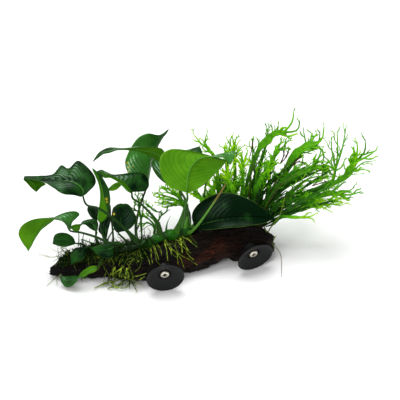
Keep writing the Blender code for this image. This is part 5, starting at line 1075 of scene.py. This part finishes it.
# ================================================================ the fern's fronds
# Thin dark straps that rise in a fan from the creeping stem, each with a raised brown midrib and
# rippled margins. Towards its end a frond forks again and again into antler-like yellow-green tips.
FAN_UPRIGHT, STIPE_WIDTH = 0.30, 1.3
FRONDS = [  # the width of each, the places along it, and the middle and end of each of its tips
    (9, [(48, -23, -8), (49, 5, -5), (51, 27, 0), (57, 47, 4), (66, 60, 6), (77, 67, 8), (86, 66, 8)],
     [[(91, 77, 9), (93, 90, 8)], [(96, 69, 10), (99, 80, 10)]]),
    (11, [(56, -23, -9), (66, 0, -6), (78, 22, 0), (90, 40, 4), (98, 48, 6), (108, 53, 8),
     (117, 54, 9)],
     [[(121, 61, 10), (123, 75, 10)], [(122, 48, 10), (122.5, 38, 11)]]),
    (7, [(58, -24, -12), (76, 10, -18), (94, 38, -22), (108, 54, -24)],
     [[(105, 61, -24), (103, 70, -24)], [(113, 61, -25), (110, 69, -26)],
      [(118, 58, -24), (120, 70, -22)]]),
    (9, [(62, -24, -10), (85, -6, 2), (110, 9, 9), (128, 17, 12), (142, 21, 14), (151, 33, 15),
     (155, 40, 15)],
     [[(156, 50, 15), (155, 60, 14)], [(163, 48, 16), (163.5, 61, 16)],
      [(167, 44, 17), (176, 51, 18)]]),
    (7, [(62, -25, -12), (95, 2, -16), (120, 13, -22), (133, 20, -25), (136, 33, -27)],
     [[(132, 50, -28), (131, 64, -28)], [(138, 48, -30), (137, 71, -30)],
      [(142, 50, -27), (146, 72, -27)]]),
    (6, [(62, -25.5, -7), (80, -13, 9), (104, 1, 24), (128, 14, 32), (146, 26, 36), (155, 31, 37)],
     [[(161, 37, 38), (170, 38, 38)], [(161, 30, 38), (167, 29, 39)]]),
    (8, [(63, -26, -9), (90, -12, 0), (112, 0, 4), (122, 4, 6), (136, 8, 8)],
     [[(146, 8, 9), (154, 13, 10)], [(148, 5, 8), (162, 9, 8)], [(143, 3, 8), (150, 1, 8)]]),
    (4, [(64, -26, -11), (90, -13, -16), (118, -1, -20), (133, 0, -22)],
     [[(142, 1, -23), (149, 2, -24)], [(142, -2, -23), (147, -4, -24)]]),
    (3.5, [(66, -26.5, -9), (73, -24, 0), (81, -17, 5), (92, -17, 7), (105, -17.5, 9)],
     [[(111, -16, 10), (116, -13, 11)], [(110, -18, 10), (114, -20, 10)]]),
    (5, [(61, -24.5, -12), (80, -13, -10), (100, -9, -9), (117, -6, -8)],
     [[(125, -3, -8), (131, -2, -8)], [(128, -5, -8), (139, -3.5, -8)]]),
    (9, [(59.5, -24.5, -7), (78, -6, 10), (95, 0, 18), (108, 2, 21)],
     [[(114, 4, 22), (120, 9, 22)], [(113, -3, 22), (118, -9, 22)]]),
    (9, [(59, -24, -11), (78, 8, -8), (98, 24, -8), (112, 31, -9), (123, 34, -10)],
     [[(129, 34, -11), (134, 29, -12)], [(128, 31, -10), (131, 24, -10)]]),
    (8, [(57, -24, -8), (76, 10, 10), (93, 24, 18), (108, 30, 22), (114, 37, 23)],
     [[(118, 43, 24), (120, 52, 24)], [(119, 38, 24), (124, 33, 24)]]),
    (7, [(60, -24, -8), (86, 3, 6), (105, 20, 8)],
     [[(114, 23, 8), (126, 23, 8)], [(113, 19, 8), (122, 18, 8)]]),
    (8, [(54, -24, -11), (62, 10, -12), (71, 36, -13), (78, 50, -14)],
     [[(80, 56, -15), (82, 62, -16)], [(84, 54, -15), (89, 61, -16)]]),
    (5, [(50, -24, -12), (54, 10, -22), (62, 42, -28), (68, 60, -30)],
     [[(68, 66, -30), (66, 76, -31)], [(72, 67, -30), (72, 75, -31)], [(76, 66, -30), (79, 76, -31)]]),
    (5, [(44, -24, -11), (46, 10, -18), (52, 38, -24)],
     [[(53, 50, -26), (52, 61, -27)], [(57, 48, -25), (59.5, 62, -25)]]),
    (7, [(40, -23, -8), (42, 0, -4), (43, 20, 0), (42, 33, 2)],
     [[(37, 40, 3), (34, 43, 4)], [(42, 42, 4), (41, 47, 6)], [(45, 42, 2), (48, 50, 0)]]),
    (7, [(36, -23, -6), (34, 0, 2), (31, 14, 8), (28, 22, 12)],
     [[(24, 28, 14), (21, 33, 16)], [(27, 31, 14), (26, 38, 15)], [(31, 30, 13), (34, 37, 13)]]),
    (6, [(28, -24, -8), (27, 10, -16), (27, 34, -22), (28, 47, -24)],
     [[(24, 51, -25), (21.5, 54, -26)], [(27, 53, -25), (27, 57, -26)],
      [(30, 55, -24), (31, 64, -24)]]),
    (6, [(34, -24, -9), (35, 10, -18), (35, 34, -25), (34.5, 47, -27)],
     [[(33.5, 54, -28), (33, 62, -29)], [(35, 56, -27), (37, 65, -27)],
      [(39, 50, -27), (43, 54, -27)]]),
    (5, [(19, -25, -7), (18, 10, -20), (17, 34, -30), (13, 46, -33), (7, 51, -34)],
     [[(0, 58, -35), (-7.5, 67, -36)], [(5, 58, -34), (7.5, 68, -34)]]),
    (8, [(16, -25.5, -5), (14, 0, -12), (13, 12, -18)],
     [[(8, 17, -20), (4, 19, -21)], [(15, 20, -20), (18, 26, -22)]]),
    (6, [(20, -25, -3), (13, -10, 4), (2, 0, 3), (-5, 5, 2)],
     [[(-9, 7, 2), (-13, 7, 1)], [(-7, 10, 2), (-9, 14, 2)]]),
    (9, [(52, -24, -10), (57, 12, -4), (67, 31, -2)],
     [[(70, 38, -2), (71, 45, -2)], [(73, 35, -2), (79, 38, -2)]]),
    (8, [(58, -25, -12), (74, 6, -24), (88, 23, -34), (97, 29, -38)],
     [[(101, 34, -40), (104, 40, -42)], [(104, 29, -40), (110, 28, -42)]]),
    (8, [(38, -25, -11), (42, -6, -32), (48, 8, -46)],
     [[(49, 14, -52), (48, 20, -57)], [(53, 12, -51), (58, 17, -56)]]),
    (8, [(60, -26, -12), (78, -10, -32), (96, -1, -46)],
     [[(102, 4, -50), (107, 9, -54)], [(104, -1, -50), (112, 0, -54)]]),
]
BROAD = {  # the fronds with a broad blade: where it starts and ends along the frond, and its width
    1: (0.46, 0.97, 6.4), 2: (0.6, 1.0, 9.8), 4: (0.68, 1.0, 6.8), 7: (0.5, 0.95, 4.5),
    12: (0.5, 0.95, 5.5), 13: (0.5, 0.9, 4.0), 15: (0.5, 0.95, 4.0), 18: (0.3, 0.85, 4.0),
    19: (0.3, 0.85, 4.0), 23: (0.3, 0.95, 5.5), 24: (0.3, 0.97, 5.5), 25: (0.3, 0.9, 5.5),
}
BROWN_RIBBED = (1, 2, 13, 14)
SMOOTH_EDGED = (1, 2, 4, 9)
LIGHTER = {1: 0.05, 2: 0.12, 8: 0.4, 9: 0.4, 10: 0.4, 16: 0.05}  # the fronds that are lighter, by how much; for eight, nine and ten it is painted light that lifts straps lying in the fan's shade
FORKS = {1: (2, 1), 2: (2, 1), 4: (3, 2), 9: (2, 1)}  # how many forks on each tip, and on each fork
OFTEN_FORKED = (4, 2)  # those of every other frond
FROND_ROWS, STRAP_ROWS, TWIG_ROWS = 56, 40, 10
CROWN_ROWS, LOBED_ROWS = 14, 30  # how many rows at a strap's or frond's end carry its crown or its lobes
NO_RIB = 9.0  # millimetres from the midrib where a strap or twig shows none


def upright(places, foot):
    """The frond's places, moved towards the eye by FAN_UPRIGHT of their height above its foot."""
    p = np.array(places, float)
    p[:, 2] += FAN_UPRIGHT * (p[:, 1] - foot)
    return p


def facing_side(path, turn):
    """The strap's sideways direction at each place of the path: square to it and to the eye's
    direction, then turned about the path."""
    forward = unit(np.gradient(path, axis=0))
    side = unit(np.cross(np.array((0.0, 0.0, 1.0)), forward))
    return math.cos(turn) * side + math.sin(turn) * np.cross(forward, side)


def strap(path, half, turn, seed, columns=12):
    """A strap along a path: a flat lens in section with a raised midrib, its half width rippled by two
    sine waves and its two margins waving up and down out of step."""
    share = np.linspace(0, 1, len(path))
    side = facing_side(path, turn)
    normal = np.cross(unit(np.gradient(path, axis=0)), side)
    leafy = np.clip(half / 3, 0, 1)
    ripple = 1 + leafy * (0.14 * np.sin(share * 23 + seed) + 0.10 * np.sin(share * 57 + 2 * seed))
    spin = circle(columns)[None]
    t = np.cos(spin)
    thick = 0.16 + 0.34 * np.exp(-(t * half[:, None] / 0.5) ** 2)
    wave = np.sin(share[:, None] * (24 + 3 * math.sin(seed)) + 2.2 * np.sign(t) + seed)
    lift = np.sin(spin) * thick + (0.26 * wave + 0.18) * half[:, None] * np.abs(t) ** 1.6
    ring = (path[:, None] + (half * ripple)[:, None, None] * t[..., None] * side[:, None]
            + lift[..., None] * normal[:, None])
    return ring, np.abs(t) * half[:, None], normal


def side_sprays(lines, widths, normals, rng, per, reach, angle, first=0.2, last=0.92, least=0.75):
    """Side branches of many lines at once: `per` leave each line between two shares of it, to both sides
    in turn at the angle, each `reach` times the rest of its parent, and bend back to its parent's way."""
    many, rows = lines.shape[:2]
    share = np.clip(np.linspace(first, last, per)[None] + rng.uniform(-0.06, 0.06, (many, per)), 0.02, 0.97)
    at = share * (rows - 1)
    low = at.astype(int)
    part = (at - low)[..., None]
    pick = np.arange(many)[:, None]
    start = lines[pick, low] * (1 - part) + lines[pick, low + 1] * part
    tangent = unit(lines[pick, low + 1] - lines[pick, low])
    sign = np.where((np.arange(per)[None] + rng.integers(0, 2, (many, 1))) % 2 == 0, 1.0, -1.0)[..., None]
    normal = unit(normals[:, None] + rng.normal(0, 0.25, (many, per, 3)))
    side = unit(np.cross(normal, tangent)) * sign
    turn = (angle * rng.uniform(0.6, 1.3, (many, per)))[..., None]
    heading = np.cos(turn) * tangent + np.sin(turn) * side
    whole = np.linalg.norm(np.diff(lines, axis=1), axis=2).sum(axis=1)[:, None]
    length = (reach * (1 - 0.8 * share) * whole * rng.uniform(0.6, 1.4, (many, per)) + 1.2)[..., None, None]
    s = np.linspace(0, 1, rows)[None, None, :, None]
    sway = 0.09 * np.sin(s * 6 + rng.uniform(0, 6, (many, per, 1, 1))) * s
    bend = s * heading[:, :, None] + 0.4 * s**2 * (tangent - heading)[:, :, None] + sway * side[:, :, None]
    made = start[:, :, None] + length * bend
    base = np.take_along_axis(widths, low, axis=1)[..., None] * 0.85
    narrow = np.maximum(base * (1 - 0.4 * np.linspace(0, 1, rows)), least)
    return made.reshape(-1, rows, 3), narrow.reshape(-1, rows), normal.reshape(-1, 3)


def twig_sheet(lines, widths, normals, low, high, rng, dead=0.0):
    """Flat twigs, four-sided and pointed, with the `tip` attribute running from low to high."""
    shape = widths / 2 * np.array([1] * (lines.shape[1] - 1) + [0.35])
    own = rng.uniform(-0.14, 0.14, (len(lines), 1, 1))
    tip = np.linspace(low, high, lines.shape[1])[None, :, None] + own
    rings = rings_round(lines, shape, 4, 0.45, normals)
    return dict(at=grown(rings), tip=np.clip(tip, 0, 1.2), dead=dead, rib=NO_RIB)


def antlers(main, widths, normals, rng, light, forks=(3, 2), reach=(0.62, 0.6), dead=0.0):
    """The main twigs that a frond ends in, and two further sets of forks on them."""
    second = side_sprays(main, widths, normals, rng, forks[0], reach[0], angle=0.7)
    third = side_sprays(*second, rng, forks[1], reach[1], angle=0.75, first=0.35, last=0.85)
    return [twig_sheet(main, widths, normals, light, light + 0.2, rng, dead),
            twig_sheet(*second, light + 0.05, light + 0.3, rng, dead),
            twig_sheet(*third, light + 0.1, light + 0.4, rng, dead)]


def thin_straps(paths, width, light, rng, lobes=4, dead=0.0):
    """Narrow straps along many paths of one length: each widens from its stipe, carries finger lobes
    along its outer part and ends in a small set of antlers."""
    sheets, ends = [], []
    for path in paths:
        share = np.linspace(0, 1, len(path))
        swell = np.clip((share - 0.15) / 0.5, 0, 1)
        half = (1.1 + (width * rng.uniform(0.7, 1.15) - 1.1) * swell * swell * (3 - 2 * swell)) / 2
        half = half * (1 - 0.45 * np.clip((share - 0.85) / 0.15, 0, 1))
        ring, _, normal = strap(path, half, rng.uniform(-0.6, 0.6), rng.uniform(0, 9), 8)
        # Darker towards the foot: partly older tissue, partly painted shade where the fan crowds
        tone = light * (0.25 + 0.75 * share) + rng.uniform(-0.08, 0.08)
        sheets.append(dict(at=grown(ring), tip=np.clip(tone, 0, 1)[:, None], rib=NO_RIB, dead=dead))
        ends.append(normal[-4])
    paths, normals = np.stack(paths), np.stack(ends)
    outer, end = paths[:, len(paths[0]) // 2:], paths[:, -CROWN_ROWS:]
    fingers = side_sprays(outer, np.full(outer.shape[:2], 1.3), normals, rng, lobes, reach=0.28, angle=0.6,
                          first=0.0, last=0.95)
    fingers = fingers[0][:, ::3], fingers[1][:, ::3], fingers[2]
    sheets.append(twig_sheet(*fingers, light * 0.6, light + 0.12, rng, dead))
    crown = side_sprays(end, np.full(end.shape[:2], 1.5), normals, rng, 3, reach=0.95, angle=0.45,
                        first=0.45, last=0.97, least=0.9)
    sheets += antlers(crown[0][:, ::2], crown[1][:, ::2], crown[2], rng, light + 0.15, forks=(3, 1))
    return sheets


def frond_sheets(number, width, line, tips):
    """The frond's strap and the twigs that it ends in, with thinner straps beside it that fill the
    room of its solid."""
    rng = np.random.default_rng(100 + number)
    foot = line[0][1]
    path = drawn(upright(line, foot), FROND_ROWS)
    share = np.linspace(0, 1, FROND_ROWS)
    turn = math.radians(28 * math.sin(2.4 * number))
    light = 0.24 + 0.14 * rng.uniform() + (0.16 if line[-1][0] < 45 else 0.0) + LIGHTER.get(number, 0.0)
    first, last, wide = BROAD.get(number, (0.15, 0.9, min(width, 3.2) * 1.05))
    swell = np.clip((share - first) / 0.22, 0, 1) * np.clip((last + 0.1 - share) / 0.16, 0, 1)
    stipe = STIPE_WIDTH + 0.9 * np.clip(share / 0.4, 0, 1)
    half = (stipe + (wide - stipe) * swell * swell * (3 - 2 * swell)) / 2
    ring, rib, normal = strap(path, half, turn, number * 1.7, 18)
    # Darker towards the foot: partly older tissue, partly painted shade where the fan crowds
    tone = light * np.clip(share / 0.8, 0, 1) ** 1.6 + 0.12 * (number in BROAD) * swell * share
    rib = rib + (0.0 if number in BROWN_RIBBED else NO_RIB)
    sheets = [dict(at=grown(ring), tip=tone[:, None], rib=rib, dead=0.0)]
    main = [np.concatenate((path[-9:-8], path[-3:-2], upright(tip, foot))) for tip in tips]
    main = np.stack([drawn(twig, TWIG_ROWS) for twig in main])
    widths = np.linspace(3.6 if number in BROAD else 2.3, 1.1, TWIG_ROWS) * np.ones((len(main), 1))
    normals = np.tile(normal[-1], (len(main), 1))
    forks = FORKS.get(number, OFTEN_FORKED)
    sheets += antlers(main, widths, normals, rng, light + 0.1, forks, reach=(0.5, 0.55))
    if number not in SMOOTH_EDGED:
        lobes = side_sprays(path[None, -LOBED_ROWS:], np.full((1, LOBED_ROWS), 1.6), normal[40:41], rng, 4,
                            reach=0.18, angle=0.6, first=0.0, last=0.95, least=0.8)
        sheets.append(twig_sheet(lobes[0][:, ::4], lobes[1][:, ::4], lobes[2], light, light + 0.25, rng))
    beside = []
    for k in range(0 if number in SMOOTH_EDGED else max(1, round(width / 4.5))):
        offset = width * rng.uniform(-0.55, 0.55)
        end = rng.uniform(0.62, 1.0)
        sway = 0.9 * np.sin(share * 9 + rng.uniform(0, 6)) * share
        drift = (offset * np.clip(share * 1.6, 0, 1) + sway)[:, None]
        depth = rng.uniform(-3.0, 1.0) * share[:, None]
        beside.append(evenly(path + drift * facing_side(path, turn) + depth * normal, STRAP_ROWS, 0.0, end))
    if beside:
        sheets += thin_straps(beside, 2.6, light * 0.8, rng, lobes=2)
    return sheets


# Submerged frond: a thin skin with little gloss, dark green at the foot, where it is older and where
# painted shade darkens the crowded fan, mid green along the strap and bright yellow-green at the growing
# tips, red-brown where it has died
frond_skin, tree, shader = new_material("fern_frond_skin", Specular_IOR_Level=0.1, Roughness=0.45)
tip, rib, dead = (node(tree, "Attribute", out="Fac", attribute_name=mark)
                  for mark in ("tip", "rib", "dead"))
place = node(tree, "TexCoord", out="Object")
cloud = node(tree, "TexNoise", {"Vector": place, "Scale": 240.0, "Detail": 4.0})
shade = node(tree, "Math", {0: cloud, 1: 0.55, 2: tip}, operation="MULTIPLY_ADD")
shade = node(tree, "MapRange", {0: shade, 1: 0.28, 2: 1.45})
greens = node(tree, "ValToRGB", {0: shade})
stops = greens.node.color_ramp.elements
for part, colour in ((0.0, "#0b2a02"), (0.25, "#2a6a03"), (0.55, "#5cac04"), (0.99, "#b6ee12")):
    stops.new(part).color = linear(colour)
stops.remove(stops[0])
midrib = node(tree, "MapRange", {0: rib, 1: 0.25, 2: 0.6, 3: 0.75, 4: 0.0})
ribbed = node(tree, "Mix", {0: midrib, 6: greens, 7: linear("#4a3a14")}, 2, data_type="RGBA")
gone = node(tree, "Mix", {0: dead, 6: ribbed, 7: linear("#431c18")}, 2, data_type="RGBA")
grain = node(tree, "TexNoise", {"Vector": place, "Scale": 900.0, "Detail": 2.0})
bump = node(tree, "Bump", {"Height": grain, "Strength": 0.3, "Distance": 0.0003})
wire(shader, {"Base Color": gone, "Normal": bump})

for number, frond in enumerate(FRONDS, 1):
    name = f"fern_frond_{number:02d}"
    piece = make_piece(name + "_living", frond_sheets(number, *frond), [frond_skin])
    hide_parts(name)

# ================================================================ the small fronds that fill the fan
# Between the large fronds stand many younger ones, narrow, with painted shade that darkens them where they
# crowd at the foot. The ones on the left are short, bright and finely cut; a few on the right have died to
# brown threads.
FILL = [  # how many, foot from and to along the rhizome, lean from and to in degrees, reach, out, light
    (20, (44, 63), (38, 92), (34, 60), (-26, 14), 0.05),
    (5, (54, 64), (17, 50), (60, 90), (-22, 10), 0.3),
    (14, (24, 48), (62, 105), (30, 62), (-22, 10), 0.26),
    (12, (14, 34), (70, 125), (24, 50), (-24, 8), 0.33),
]
CLOSE_STRAPS, CLOSE_ROWS = 20, 20  # plain straps that close the fan's foot, darkened by painted shade


def rising_path(rng, feet, leans, reaches, outs, rows):
    """A path from the creeping stem at a random lean and reach, through a middle place a little above."""
    across = rng.uniform(*feet)
    stem = smooth(FERN_RHIZOME).T
    foot = np.array([across, *(np.interp(across, stem[0], height) for height in stem[1:])])
    lean, reach = math.radians(rng.uniform(*leans)), rng.uniform(*reaches)
    end = foot + (reach * math.cos(lean), reach * math.sin(lean), rng.uniform(*outs))
    middle = (foot + end) / 2 + (rng.uniform(-4, 2), rng.uniform(1, 7), rng.uniform(-4, 4))
    return evenly(upright(smooth([foot, middle, end]), foot[1]), rows)


rng = np.random.default_rng(41)
sheets = []
for count, feet, leans, reaches, outs, light in FILL:
    paths = [rising_path(rng, feet, leans, reaches, outs, STRAP_ROWS) for k in range(count)]
    sheets += thin_straps(paths, 2.9, light, rng, lobes=3)
dead_bits = [  # where fronds have died back to brown threads: across, up and out of foot and tip
    [(92, 34, 4), (97, 40, 6), (101.5, 43.5, 7)], [(92, 34, 4), (98, 38, 6), (104, 37, 8)],
    [(80, 36, 2), (83.5, 44, 4), (84, 51, 5)], [(80, 36, 2), (86, 43, 5), (88.5, 50, 6)],
    [(112, 14, 6), (119, 19, 8), (126, 23, 9)], [(112, 14, 6), (121, 17, 8), (127.5, 18.5, 9)],
    [(50, 44, 0), (52, 52, 0), (52.5, 60, 0)],
]
dead_paths = [drawn(path, STRAP_ROWS) for path in dead_bits]
sheets += thin_straps(dead_paths, width=1.6, light=0.3, rng=rng, lobes=3, dead=0.95)
rng = np.random.default_rng(43)
share = np.linspace(0, 1, CLOSE_ROWS)
for k in range(CLOSE_STRAPS):
    path = rising_path(rng, feet=(50, 63), leans=(22, 84), reaches=(28, 52), outs=(-18, 4),
                       rows=CLOSE_ROWS)
    half = (3.2 - 2.2 * share**2) / 2 * rng.uniform(0.8, 1.2)
    ring = strap(path, half, rng.uniform(-0.5, 0.5), rng.uniform(0, 9), 6)[0]
    # Darkest at the foot: painted shade where the fan crowds
    sheets.append(dict(at=grown(ring), tip=0.05 + 0.3 * share[:, None] ** 2, rib=NO_RIB, dead=0.0))
filling = make_piece("fern_small_fronds", sheets, [frond_skin])

# ================================================================ the small fronds between the stalks
# A second, younger part of the fern grows behind the anubias stem: one bright bush of forked tips
# beside leaf seven's stalk, and a few thin sprigs farther left, all rooted in the wood's top.
SPRIGS = [  # width, how light, and the places along each strap
    (2.3, 0.47, [
        [(-9, -33, 2), (-10, -16, 1), (-16, -5, 1), (-25, 1, 1), (-35, 4, 1), (-43, 6.5, 1)],
        [(-9, -33, 1), (-11, -14, -1), (-16, -3, -2), (-24, 4, -2), (-32, 8, -1), (-37, 11.5, 0)],
        [(-9, -33, 0), (-12, -12, -2), (-19, -1, -3), (-27, 7, -3), (-32.5, 13, -3)],
        [(-9, -33, 0), (-11, -12, -3), (-17, -1, -4), (-22, 5, -4), (-27, 9.5, -4)],
        [(-9, -33, 1), (-10, -14, 2), (-16, -5, 4), (-28, -3, 5), (-40, -3.4, 6)],
        [(-9, -33, 2), (-12, -13, 4), (-22, -2, 5), (-30, 0, 5), (-38, 1.5, 5)],
        [(-9, -33, 1), (-11, -14, 0), (-18, -6, 0), (-26, -5, 1), (-34, -3, 2)]]),
    (1.9, 0.36, [
        [(-46, -40, 12), (-46, -30, 12), (-40.7, -18, 11), (-37, -14.3, 10), (-33.6, -11.4, 9),
         (-32, -7, 8), (-26.4, -4.3, 7)],
        [(-46, -40, 12), (-43, -25, 13), (-38, -13.2, 13), (-41.4, -12, 13), (-45.7, -10.7, 13),
         (-50, -7, 12), (-53, -4.3, 12)],
        [(-58, -42, 16), (-58, -28, 15), (-59, -16, 14), (-61, -8, 13), (-62, 5, 12)],
        [(-58, -42, 16), (-59, -26, 15), (-60, -13, 14), (-64.3, -10, 13), (-65.7, -6.4, 13),
         (-64.3, -3.6, 12)],
        [(-46, -40, 12), (-45, -27, 12), (-50, -20, 12), (-55, -17, 12), (-58, -16, 12)],
        [(-46, -40, 12), (-46, -28, 13), (-51, -23, 14), (-58, -24, 14)],
        [(-46, -40, 12), (-44, -26, 13), (-47, -19, 13), (-52, -15, 13)]]),
]
rng = np.random.default_rng(61)
sheets = []
for width, light, paths in SPRIGS:
    sheets += thin_straps([drawn(path, STRAP_ROWS) for path in paths], width, light, rng, lobes=3)
sprigs = make_piece("fern_sprigs_between_stalks", sheets, [frond_skin])

# ================================================================ the fern's thin shoot
# A young shoot, not yet unrolled: one smooth pale green thread that arches up on the right. It grows
# from the end of the creeping stem and has the fronds' thin skin.
SHOOT = [(64, -26, -9), (67, -32, 4), (71, -27, 10), (79, -16, 20), (82, -6, 24), (84.5, 2, 24)]
SHOOT_ROWS = 60
rings = tube(drawn(SHOOT, SHOOT_ROWS), np.linspace(0.75, 0.4, SHOOT_ROWS), sides=10)
thread = dict(at=to_world(rings), tip=np.linspace(0.45, 0.8, SHOOT_ROWS)[:, None])
shoot = make_piece("fern_shoot_living", [thread], [frond_skin])
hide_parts("fern_shoot")
